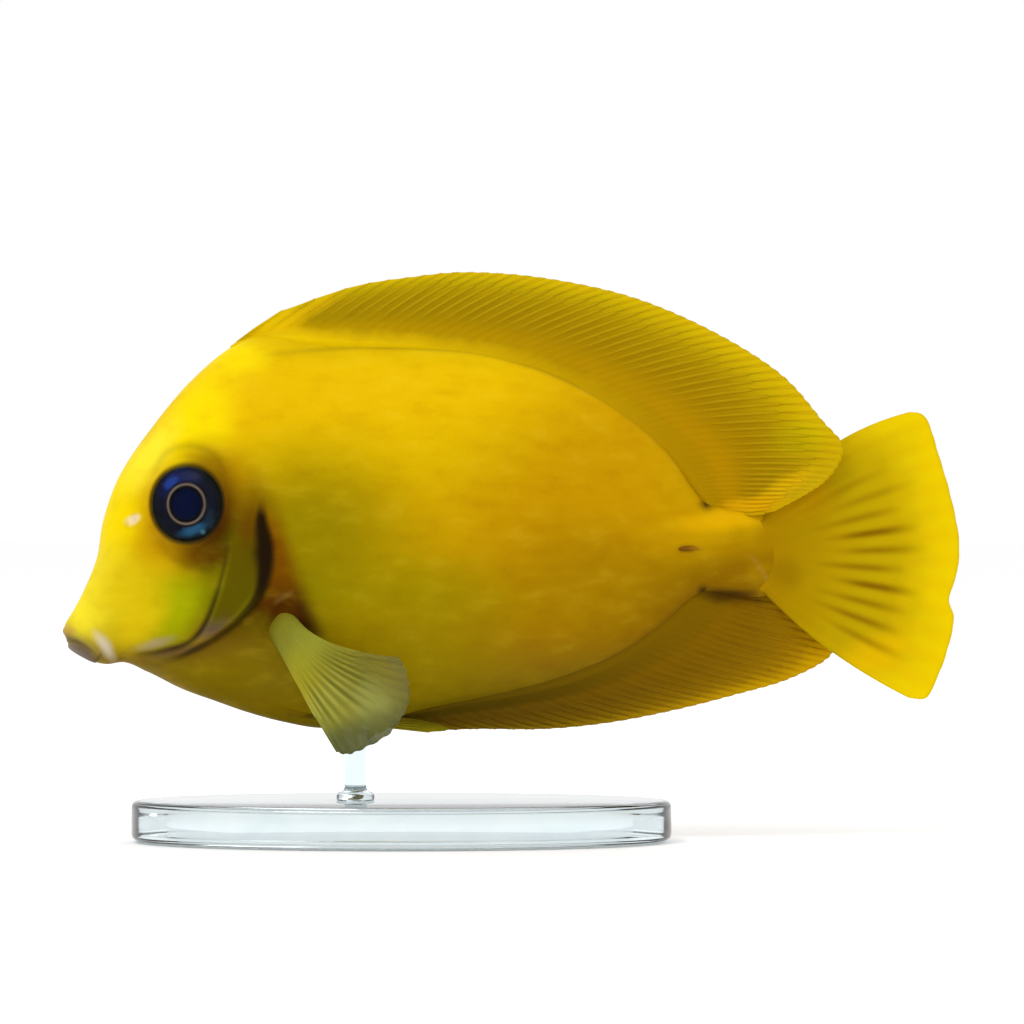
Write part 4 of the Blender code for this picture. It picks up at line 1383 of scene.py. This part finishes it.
@dataclass
class BreastFin(Fin):
    """A pectoral fin, held out and down from the flank as when the fish brakes.

    Its rays leave a fleshy stalk, rounded at its root, and fan out. bends gives the x and z that the first
    and the last ray bend towards.
    """

    spread: tuple[float, ...] = (8.0, 9.3, 9.0)
    bends: tuple[Pair, Pair] = ((-21.5, 16.2), (-19.25, 19.0))
    ripple: float = 0.1
    root_round: float = 0.09
    root_sink: float = 0.7

    def middle(self, across: np.ndarray, along: np.ndarray) -> np.ndarray:
        """Points of the fin's middle sheet, across its rays and along them."""
        root, tip = self.ends(across)
        spread = spline(np.array(self.spread)[:, None], across * (len(self.spread) - 1))[:, 0]
        skin = flank_width(root[:, 0], root[:, 2])
        bend_x, bend_z = (blend(first, last, across) for first, last in zip(*self.bends))
        bend = np.stack((bend_x, np.zeros(len(across)), bend_z), axis=1)
        start = self.root_round * np.abs(2 * across - 1) ** 3
        t = (start + (1 - start) * along)[:, None]
        point = (1 - t) ** 2 * root + 2 * t * (1 - t) * bend + t**2 * tip
        fold = self.ripple * np.sin(2 * math.pi * across * (self.count - 1) / 2)
        fold = fold * smooth((along - 0.35) / 0.4)
        sink = self.root_sink * (1 - smooth(along / 0.25))
        point[:, 1] = -(skin - sink + spread * (0.75 * along + 0.25 * along**2) + fold)
        return point


@dataclass
class BellyFin(Fin):
    """A pelvic fin, folded back under the belly."""

    root_out: float = 1.95
    tip_out: float = 1.75

    def middle(self, across: np.ndarray, along: np.ndarray) -> np.ndarray:
        """Points of the fin's middle sheet, across its rays and along them."""
        root, tip = self.ends(across)
        point = blend(root, tip, along[:, None])
        point[:, 1] = -blend(self.root_out, self.tip_out, along)
        return point


@dataclass
class Eye:
    """A glass eye: a painted ball with its ring and pupil worked in low relief, under a clear cover."""

    side: Side
    sunk: float = 0.1
    dome: float = 1.25
    glance: float = 0.1
    rings: int = 56
    sides: int = 96
    reach: Pair = EYE_REACH

    def rim_plane(self, x: np.ndarray, z: np.ndarray) -> np.ndarray:
        """How far out the eye's rim lies, as a smooth sheet through the skin all round it."""
        turn = np.linspace(0, 2 * math.pi, 32, endpoint=False)
        rim_x, rim_z = self.reach[0] * np.cos(turn), self.reach[1] * np.sin(turn)
        beside = flank_width(EYE_CENTRE[0] + rim_x, EYE_CENTRE[1] + rim_z)

        def terms(u: np.ndarray, v: np.ndarray) -> np.ndarray:
            """The sheet's level, slopes and twists."""
            return np.stack((np.ones(len(u)), u, v, u * u - v * v, u * v), axis=1)

        shape = np.linalg.lstsq(terms(rim_x, rim_z), beside, rcond=None)[0]
        return terms(x - EYE_CENTRE[0], z - EYE_CENTRE[1]) @ shape - self.sunk

    def lens(self, name: str, front: np.ndarray, back: np.ndarray, shares: np.ndarray) -> Object:
        """A closed lens between two curved faces.

        Args:
            name: the piece's name.
            front: heights of the outer face above the rim plane, from the middle out.
            back: heights of the inner face, from the middle out.
            shares: the rings' shares of the eye's reach, the first above 0 and the last 1.

        Returns:
            The lens as a mesh object.
        """
        turn = np.linspace(0, 2 * math.pi, self.sides, endpoint=False)
        radius = np.concatenate((shares, shares[-2::-1]))
        height = np.concatenate((front, back[-2::-1]))
        look = self.glance * np.repeat(1 - radius**2, self.sides)
        x = EYE_CENTRE[0] + np.outer(radius, np.cos(turn)).ravel() * self.reach[0] - look
        z = EYE_CENTRE[1] + np.outer(radius, np.sin(turn)).ravel() * self.reach[1]
        y = self.rim_plane(x, z) + np.repeat(height, self.sides)
        middle = self.rim_plane(*(np.array((place,)) for place in EYE_CENTRE))[0]
        poles = [(EYE_CENTRE[0] - self.glance, middle + edge, EYE_CENTRE[1]) for edge in (front[0], back[0])]
        points = np.concatenate((np.stack((x, y, z), axis=1), poles))
        points[:, 1] *= self.side.value
        fields = {"radius": np.concatenate((np.repeat(radius, self.sides), (0.0, 0.0)))}
        return make_piece(name, points, capped_faces(len(radius), self.sides), fields)

    def build(self, ball_finish: Material, cover_finish: Material) -> None:
        """Makes the ball and its cover and hands them over."""
        word = self.side.name.lower()
        shares = np.linspace(0, 1, self.rings + 1)[1:]
        curve = self.dome * np.sqrt(1 - (0.96 * shares) ** 2) - self.dome * math.sqrt(1 - 0.96**2)
        ring = 0.07 * hump(shares - 0.525, 0.03)
        ring = ring - 0.12 * smooth((shares - 0.58) / 0.06) * smooth((0.95 - shares) / 0.1)
        pupil = -0.1 * smooth((0.45 - shares) / 0.04)
        ball = self.lens(f"eye_{word}_ball", curve + ring + pupil, -1.1 * (1 - shares**2), shares)
        ball.data.materials.append(ball_finish)
        mount(ball, "eye", f"eye_{word}")
        dish = 1 - shares**6
        cover = self.lens(f"eye_{word}_cover", curve + 0.16 * dish, curve + 0.1 * dish - 0.004, shares)
        cover.data.materials.append(cover_finish)
        mount(cover, "eye", f"eye_{word}")


@dataclass
class TailBlade:
    """The scalpel of a surgeonfish, folded forward into its slot: a curved blade that thins at its edges."""

    side: Side
    half_length: float = 1.5
    half_height: float = 0.3
    half_depth: float = 0.34
    sunk: float = 0.12
    rings: int = 26
    sides: int = 16

    def build(self, finish: Material) -> None:
        """Lofts the blade from its point to its root and hands it over."""
        share = np.linspace(0, 1, self.rings + 2)[1:-1]
        size = np.sin(math.pi * share**0.75) ** 0.6
        turn = np.linspace(0, 2 * math.pi, self.sides, endpoint=False)
        x = BLADE_CENTRE[0] - self.half_length + 2 * self.half_length * share
        rise = self.half_height * np.outer(size, np.sin(turn)) + 0.1 * np.sin(math.pi * share)[:, None]
        depth = self.half_depth * np.outer(size, np.cos(turn) * (1 - 0.35 * np.abs(np.sin(turn))))
        skin = flank_width(x, np.full(len(x), BLADE_CENTRE[1])) - self.sunk
        out, up = (skin[:, None] + depth).ravel(), (BLADE_CENTRE[1] + rise).ravel()
        ends = np.array([
            (BLADE_CENTRE[0] + end * self.half_length, skin[row], BLADE_CENTRE[1])
            for end, row in ((-1, 0), (1, -1))
        ])
        points = np.concatenate((np.stack((np.repeat(x, self.sides), out, up), axis=1), ends))
        points[:, 1] *= self.side.value
        word = self.side.name.lower()
        blade = make_piece(f"tail_blade_{word}_horn", points, capped_faces(self.rings, self.sides))
        blade.data.materials.append(finish)
        mount(blade, "blade", f"tail_blade_{word}")


@dataclass
class Stand:
    """A clear oval plate with polished rounded edges, and a clear rod with a collar up to the belly."""

    centre_x: float = -11.0
    reach: Pair = (27.0, 17.0)
    thick: float = 4.0
    edge: float = 0.7
    rod_x: float = -15.6
    rod_radius: float = 1.1
    collar_radius: float = 1.9
    rod_top: float = 11.75
    sides: int = 144

    def plate_tree(self) -> NodeTree:
        """A tree that cuts an oval plate: a round disc, drawn out to an oval and raised to its thickness."""
        kinds = {"Sides": "Int", "Half length": "Float", "Half width": "Float", "Thickness": "Float",
                 "Centre": "Float", "Finish": "Material"}
        tree, given = open_tree("oval_plate", kinds)
        inputs = {"Vertices": given["Sides"], "Radius": 1.0}
        disc = add(tree, "GeometryNodeMeshCircle", inputs, fill_type="NGON")
        size = add(tree, "ShaderNodeCombineXYZ", {0: given["Half length"], 1: given["Half width"], 2: 1.0})
        move = add(tree, "ShaderNodeCombineXYZ", {0: given["Centre"]})
        inputs = {"Geometry": disc.outputs[0], "Translation": move.outputs[0], "Scale": size.outputs[0]}
        oval = add(tree, "GeometryNodeTransform", inputs).outputs[0]
        inputs = {"Mesh": oval, "Offset Scale": given["Thickness"], "Individual": False}
        raised = add(tree, "GeometryNodeExtrudeMesh", inputs)
        under = add(tree, "GeometryNodeFlipFaces", {"Mesh": oval})
        both = add(tree, "GeometryNodeJoinGeometry")
        for part in (raised, under):
            feed(both, {0: part.outputs[0]})
        inputs = {"Geometry": both.outputs[0], "Distance": 0.01 * MM}
        closed = add(tree, "GeometryNodeMergeByDistance", inputs)
        close_tree(tree, closed.outputs[0], given["Finish"])
        return tree

    def build_plate(self, finish: Material) -> None:
        """Cuts the plate and rounds its edges."""
        plate = make_piece("stand_base_plate", np.zeros((1, 3)), [])
        run_tree(plate, self.plate_tree(), {
            "Sides": self.sides,
            "Half length": self.reach[0] * MM,
            "Half width": self.reach[1] * MM,
            "Thickness": self.thick * MM,
            "Centre": self.centre_x * MM,
            "Finish": finish,
        })
        face_outward(plate.data)
        bevel = plate.modifiers.new("edge", "BEVEL")
        bevel.width = self.edge * MM
        bevel.segments = 6
        bevel.limit_method = "ANGLE"
        bevel.angle_limit = math.radians(60)
        keep_result(plate)
        plate.data.shade_smooth()
        plate.data.set_sharp_from_angle(angle=math.radians(40))
        mount(plate, "stand", "stand_base")

    def build_rod(self, sweep: Sweep, finish: Material) -> None:
        """Turns the rod with its collar and rounded shoulder."""
        low, wide, thin = self.thick + 0.02, self.collar_radius, self.rod_radius
        collar = ((0.0, wide - 0.1), (0.08, wide), (0.55, wide), (0.75, wide - 0.2), (0.95, thin + 0.15))
        stem = np.linspace(low + 1.25, self.rod_top - 0.1, 24)
        height = np.concatenate(([low + rise for rise, _ in collar], stem, (self.rod_top,)))
        radius = np.concatenate(([reach for _, reach in collar], np.full(len(stem), thin), (thin - 0.12,)))
        points = np.stack((np.full(len(height), self.rod_x), np.zeros(len(height)), height), axis=1)
        edges = [(i, i + 1) for i in range(len(height) - 1)]
        rod = sweep.run("stand_rod_clear", points, edges, {"thickness": radius * MM}, ROD_SIDES, finish)
        face_outward(rod.data)
        rod.data.set_sharp_from_angle(angle=math.radians(50))
        mount(rod, "stand", "stand_rod")

    def build(self, sweep: Sweep, finish: Material) -> None:
        """Makes the plate and the rod."""
        self.build_plate(finish)
        self.build_rod(sweep, finish)


@dataclass
class Studio:
    """A plain white studio: a wide floor, two soft lights and the camera square to the fish's left side."""

    floor_radius: float = 6.0
    floor_depth: float = 0.0002
    world: float = 1.0
    camera_at: tuple[float, float, float] = (0.00005, -0.6, 0.0328)
    lens: float = 211.0
    lit_place: tuple[float, float, float] = (0.0, 0.0, 0.03)
    lights: dict[str, tuple] = field(default_factory=lambda: {
        "key": ((-0.35, -0.55, 0.75), 0.4, 3.0),
        "back": ((0.3, 0.6, 0.6), 0.5, 1.0),
    })

    def build(self) -> None:
        """Sets the floor, the world, the lights and the camera."""
        self.build_floor()
        self.build_world()
        for name, (place, size, power) in self.lights.items():
            lamp = bpy.data.lights.new(name, "AREA")
            lamp.shape = "DISK"
            lamp.size = size
            lamp.energy = power
            self.aim(bpy.data.objects.new(name, lamp), place, self.lit_place)
        camera = bpy.data.cameras.new("camera")
        camera.lens = self.lens
        camera.sensor_width = 36.0
        camera.clip_start = 0.01
        obj = bpy.data.objects.new("camera", camera)
        self.aim(obj, self.camera_at, (self.camera_at[0], 0.0, self.camera_at[2]))
        scene = bpy.context.scene
        scene.camera = obj
        scene.view_settings.view_transform = "Standard"

    @staticmethod
    def aim(obj: Object, place: tuple, target: tuple) -> None:
        """Puts a light or the camera in place, turned to its target."""
        bpy.context.scene.collection.objects.link(obj)
        away = np.array(place) - np.array(target)
        forward = away / np.linalg.norm(away)
        right = np.cross((0.0, 0.0, 1.0), forward)
        right /= np.linalg.norm(right)
        up = np.cross(forward, right)
        turn = Matrix(np.stack((right, up, forward), axis=1).tolist()).to_4x4()
        turn.translation = place
        obj.matrix_world = turn

    def build_floor(self) -> None:
        """A floor of matt white paper, far wider than the view."""
        turn = np.linspace(0, 2 * math.pi, FLOOR_SIDES, endpoint=False)
        points = np.stack((np.cos(turn), np.sin(turn), np.zeros(FLOOR_SIDES)), axis=1) * self.floor_radius
        points[:, 2] = -self.floor_depth
        mesh = bpy.data.meshes.new("floor")
        mesh.from_pydata(points.tolist(), [], [tuple(range(FLOOR_SIDES))])
        floor = bpy.data.objects.new("floor", mesh)
        bpy.context.scene.collection.objects.link(floor)
        paper = bpy.data.materials.new("matt_white_paper")
        paper.use_nodes = True
        tree = paper.node_tree
        place = add(tree, "ShaderNodeTexCoord").outputs["Object"]
        fibre = add(tree, "ShaderNodeTexNoise", {"Vector": place, "Scale": 400.0}).outputs["Fac"]
        colour = add(tree, "ShaderNodeValToRGB", {"Fac": fibre}, stops=((0.3, "#fdfdfd"), (0.7, "#ffffff")))
        feed(tree.nodes["Principled BSDF"], {
            "Base Color": colour.outputs["Color"],
            "Roughness": 0.9,
            "Specular IOR Level": 0.1,
        })
        mesh.materials.append(paper)

    def build_world(self) -> None:
        """White paper all round, evenly lit."""
        world = bpy.data.worlds.new("white_tent")
        bpy.context.scene.world = world
        world.use_nodes = True
        inputs = {"Color": (1.0, 1.0, 1.0, 1.0), "Strength": self.world}
        feed(world.node_tree.nodes["Background"], inputs)


def make_dorsal() -> DorsalFin:
    """The fin of the back, olive gold, and browner towards its end."""
    patches = (
        Patch(28.5, 40.2, 4.5, 2.6, "#a89a00", 0.5, 20.0),
        # The rear lobe over the tail, lighter along its edge as painted light.
        Patch(27.5, 35.4, 4.6, 1.3, "#cfa404", 0.85, 34.0),
        Patch(24.4, 33.5, 5.0, 1.1, "#cc9a02", 0.9, 6.0),
        Patch(-20.4, 53.0, 5.6, 1.0, "#bc9a04", 0.9, 26.0),
        Patch(-23.9, 50.9, 4.9, 2.3, "#ccaa02", 0.95, 30.0),
    )
    film = FinFilm(
        "dorsal_film",
        stops=(
            (0.0, "#d2b000"), (0.09, "#c2a000"), (0.17, "#a08400"), (0.3, "#937c02"), (0.6, "#957d02"),
            (0.85, "#a08a04"), (0.95, "#ac9204"), (1.0, "#b89a04"),
        ),
        far_stops=(
            (0.0, "#a07a00"), (0.3, "#9c7800"), (0.45, "#977600"), (0.6, "#967902"), (0.76, "#a48802"),
            (1.0, "#b89602"),
        ),
        patches=patches, streaks=0.5, streak_colour="#6b5600",
    )
    ray = FinFilm(
        "dorsal_ray",
        stops=(
            (0.0, "#d2b000"), (0.2, "#a08400"), (0.3, "#9b8404"), (0.6, "#a08806"), (0.85, "#a08a04"),
            (1.0, "#b89a04"),
        ),
        far_stops=((0.0, "#a07a00"), (0.3, "#9c7800"), (0.6, "#a08204"), (0.8, "#a88a04"), (1.0, "#b89602")),
        patches=patches,
    )
    return DorsalFin(
        name="dorsal_fin", count=58, inward=(0.0, 0.0, -1.0), film=film, ray_finish=ray,
        rays=(
            (-28.1, 49.4, -22.9, 52.95), (-23.9, 50.2, -16.0, 55.3), (-19.6, 50.0, -10.1, 56.3),
            (-15.1, 49.7, -4.3, 56.8), (-9.1, 49.3, 3.4, 56.2), (-2.1, 48.3, 12.1, 54.3),
            (4.4, 46.0, 20.1, 50.9), (9.9, 43.3, 26.9, 46.6), (13.4, 40.9, 31.0, 42.0),
            (16.1, 38.6, 33.1, 39.1), (18.3, 35.9, 31.2, 35.8), (20.6, 32.8, 26.3, 32.95),
        ),
        spines=8, sheath=0.2, bow_rear=0.45, lean_far=2.3, ray_radius=0.22, cells=8, even=True, crowd=0.8,
        ray_rise=(0.12, 0.55), streak_rise=0.1, streak_width=1.7, streak_soft=0.3,
    )


def make_anal() -> UprightFin:
    """The fin under the tail, dark brown, partly its own dusky colour and partly painted shade under the
    fish, and brighter towards its end.
    """
    # A painted shadow along the fin's top, under the tail's stalk.
    patches = (Patch(22.0, 24.6, 5.5, 1.5, "#3c2602", 0.9, -6.0),)
    film = FinFilm(
        "anal_film",
        stops=((0.0, "#5e4a06"), (0.4, "#503c08"), (1.0, "#5a4508")),
        far_stops=((0.0, "#755600"), (0.3, "#755600"), (0.6, "#7e5e02"), (0.82, "#8e6802"), (1.0, "#b48800")),
        patches=patches, streaks=0.42, streak_colour="#3c2a04",
    )
    ray = FinFilm(
        "anal_ray",
        stops=((0.0, "#5e4a06"), (0.5, "#564308"), (1.0, "#5e4a08")),
        far_stops=((0.0, "#755600"), (0.5, "#7c5c02"), (0.85, "#8e6a02"), (1.0, "#b48800")),
        patches=patches,
    )
    return UprightFin(
        name="anal_fin", count=38, inward=(0.0, 0.0, 1.0), film=film, ray_finish=ray,
        rays=(
            (-11.3, 12.5, -8.6, 10.9), (-8.1, 13.0, -3.3, 11.1), (-3.6, 13.8, 3.4, 11.1),
            (1.4, 14.7, 9.9, 11.75), (6.4, 16.0, 16.4, 13.0), (10.7, 17.9, 22.4, 14.5),
            (14.4, 20.3, 27.9, 16.1), (17.1, 22.7, 32.1, 18.5), (18.6, 24.1, 31.2, 20.8),
            (20.6, 24.95, 29.2, 24.5),
        ),
        spines=3, bow_front=-0.3, bow_rear=-0.3, lean_far=-2.2, lean_from=0.4, ray_radius=0.19, cells=8,
        even=True, ray_rise=(0.12, 0.5), streak_width=1.7, streak_soft=0.3,
    )


def make_tail() -> TailFin:
    """The tail fin, gold, with dark streaks between its rays."""
    film = FinFilm(
        "caudal_film",
        stops=(
            (0.0, "#9c7600"), (0.25, "#a28400"), (0.5, "#a89202"), (0.68, "#ac9402"), (0.82, "#c2a402"),
            (0.93, "#ccaa00"), (1.0, "#d0ae00"),
        ),
        far_stops=((0.0, "#987400"), (0.3, "#a48600"), (0.55, "#b09802"), (0.8, "#caac02"), (1.0, "#d4b000")),
        patches=(
            Patch(28.5, 33.5, 5.0, 3.0, "#b88e00", 0.8, 25.0),
            Patch(27.4, 26.6, 2.6, 2.6, "#8a6a00", 0.7),
            Patch(36.5, 18.5, 5.0, 3.0, "#cca400", 0.8, 20.0),
        ),
        streaks=1.0, streak_colour="#6c4e00",
    )
    ray = FinFilm(
        "caudal_ray",
        stops=((0.0, "#9c7600"), (0.4, "#ac8a04"), (0.7, "#b69604"), (0.85, "#caa804"), (1.0, "#d2ae00")),
        far_stops=((0.0, "#967200"), (0.4, "#ae8e02"), (0.8, "#d0ae02"), (1.0, "#d6b000")),
    )
    return TailFin(
        name="caudal_fin", count=14, inward=(-1.0, 0.0, 0.0), film=film, ray_finish=ray,
        rays=(
            (24.9, 32.3, 39.9, 42.8), (25.1, 32.05, 41.2, 42.6), (25.4, 31.75, 41.95, 41.4),
            (25.9, 31.1, 42.7, 38.9), (26.3, 30.1, 43.9, 34.7), (26.6, 28.9, 44.75, 30.3),
            (26.6, 28.0, 44.6, 27.0), (26.5, 27.1, 43.75, 24.1), (26.2, 26.3, 44.2, 22.0),
            (25.9, 25.6, 43.4, 18.6), (25.6, 25.15, 42.2, 15.6), (25.4, 24.9, 41.3, 14.2),
            (25.2, 24.7, 39.6, 14.3),
        ),
        sheath=0.36, bow_front=1.7, bow_rear=-0.7, twist=0.11, root_thick=1.5, cells=14, ray_radius=0.14,
        scallop=0.04, even=True, ray_rise=(0.2, 0.6), streak_span=(0.2, 0.86), streak_wander=0.05,
        streak_width=3.5, streak_soft=0.3, streak_ends=(0.45, 0.2), fork_at=0.5, fork_gap=0.22,
    )


def make_breast() -> BreastFin:
    """The pectoral fin, pale olive and see-through towards its free edge."""
    clear = (1.0, 0.92, 0.5)
    film = FinFilm(
        "pectoral_film",
        stops=(
            (0.0, "#5e5008"), (0.08, "#686414"), (0.2, "#767422"), (0.35, "#8c8620"), (0.6, "#968c1e"),
            (0.8, "#7c7c2c"), (0.92, "#626838"), (1.0, "#565c3c"),
        ),
        far_stops=(
            (0.0, "#645a0c"), (0.1, "#706e1c"), (0.25, "#7e7e28"), (0.4, "#88882a"), (0.6, "#868228"),
            (0.85, "#7c7834"), (1.0, "#6c6c40"),
        ),
        patches=(
            Patch(-16.8, 14.6, 4.6, 4.2, "#a09c40", 0.6, 30.0),
            Patch(-13.6, 14.3, 3.0, 3.6, "#a0a458", 0.7),
            Patch(-15.4, 10.6, 7.0, 3.0, "#484e2c", 0.8, 22.0),
        ),
        streaks=0.8, streak_colour="#454e18", clear=clear, glow=0.2,
    )
    ray = FinFilm(
        "pectoral_ray",
        stops=((0.0, "#686414"), (0.3, "#848022"), (0.55, "#9c9430"), (0.8, "#868a44"), (1.0, "#565c3c")),
        far_stops=((0.0, "#706e1c"), (0.3, "#82822a"), (0.6, "#908c30"), (0.85, "#827c36"), (1.0, "#6c6c40")),
        patches=(
            Patch(-16.8, 14.6, 4.6, 4.2, "#a8a44a", 0.6, 30.0),
            Patch(-15.4, 10.6, 7.0, 3.0, "#545a34", 0.85, 22.0),
        ),
        clear=clear,
    )
    return BreastFin(
        name="pectoral_fin", count=14, inward=(0.0, 1.0, 0.0), film=film, ray_finish=ray,
        rays=(
            (-24.1, 21.3, -17.1, 9.35), (-23.86, 21.53, -16.0, 9.1), (-23.63, 21.75, -14.35, 9.7),
            (-23.39, 21.98, -12.05, 11.0), (-23.15, 22.2, -10.65, 12.7), (-22.91, 22.43, -9.95, 14.3),
            (-22.68, 22.65, -9.95, 16.0), (-22.44, 22.88, -10.35, 17.6), (-22.2, 23.1, -11.0, 18.6),
        ),
        sheath=0.32, slot="pale_fin", root_thick=1.6, film_thick=0.2, edge_thick=0.1, ray_radius=0.17,
        ray_rise=(0.34, 0.75), streak_span=(0.36, 0.96), streak_width=2.0, streak_soft=0.25,
        streak_ends=(0.2, 0.3), cells=10, fork_at=0.7, fork_gap=0.14,
    )


def make_belly() -> BellyFin:
    """The pelvic fin, olive brown."""
    film = FinFilm(
        "pelvic_film",
        stops=((0.0, "#5c5006"), (0.6, "#6c6406"), (1.0, "#7a700c")),
        far_stops=((0.0, "#4c4006"), (1.0, "#504606")),
        patches=(Patch(-21.2, 12.2, 5.0, 2.0, "#725a04", 1.0),),
    )
    ray = FinFilm(
        "pelvic_ray",
        stops=((0.0, "#64580a"), (1.0, "#827810")),
        far_stops=((0.0, "#54480a"), (1.0, "#5e520a")),
    )
    return BellyFin(
        name="pelvic_fin", count=6, inward=(0.0, 0.0, 1.0), film=film, ray_finish=ray,
        rays=(
            (-22.4, 12.5, -8.2, 10.85), (-21.2, 12.5, -6.2, 11.1), (-20.2, 12.5, -7.4, 11.7),
            (-19.2, 12.5, -10.0, 12.2),
        ),
        spines=1, sheath=0.3, root_thick=0.7, film_thick=0.26, ray_radius=0.16,
    )


def make_fins() -> list[tuple[Fin, Side]]:
    """The seven fins and the side that each is on, LEFT for those in the middle."""
    fins: list[tuple[Fin, Side]] = [(fin, Side.LEFT) for fin in (make_dorsal(), make_anal(), make_tail())]
    for fin in (make_breast(), make_belly()):
        fins += [(replace(fin, name=f"{fin.name}_{side.name.lower()}"), side) for side in Side]
    return fins


def main() -> None:
    """Builds the fish, its stand and the studio, in order."""
    logging.basicConfig(level=logging.INFO, format="%(name)s: %(message)s")
    Studio().build()
    Skin().build(PaintedSkin())
    sweep = Sweep()
    for fin, side in make_fins():
        fin.build(sweep, side)
    ball = GlassEye().make()
    cover = ClearCover("clear_glass_cover", ior=1.07, rough=0.05, tint="#ffffff").make()
    horn = HornBlade().make()
    for side in Side:
        Eye(side).build(ball, cover)
        TailBlade(side).build(horn)
    Stand().build(sweep, ClearCover().make())


if __name__ == "__main__":
    main()
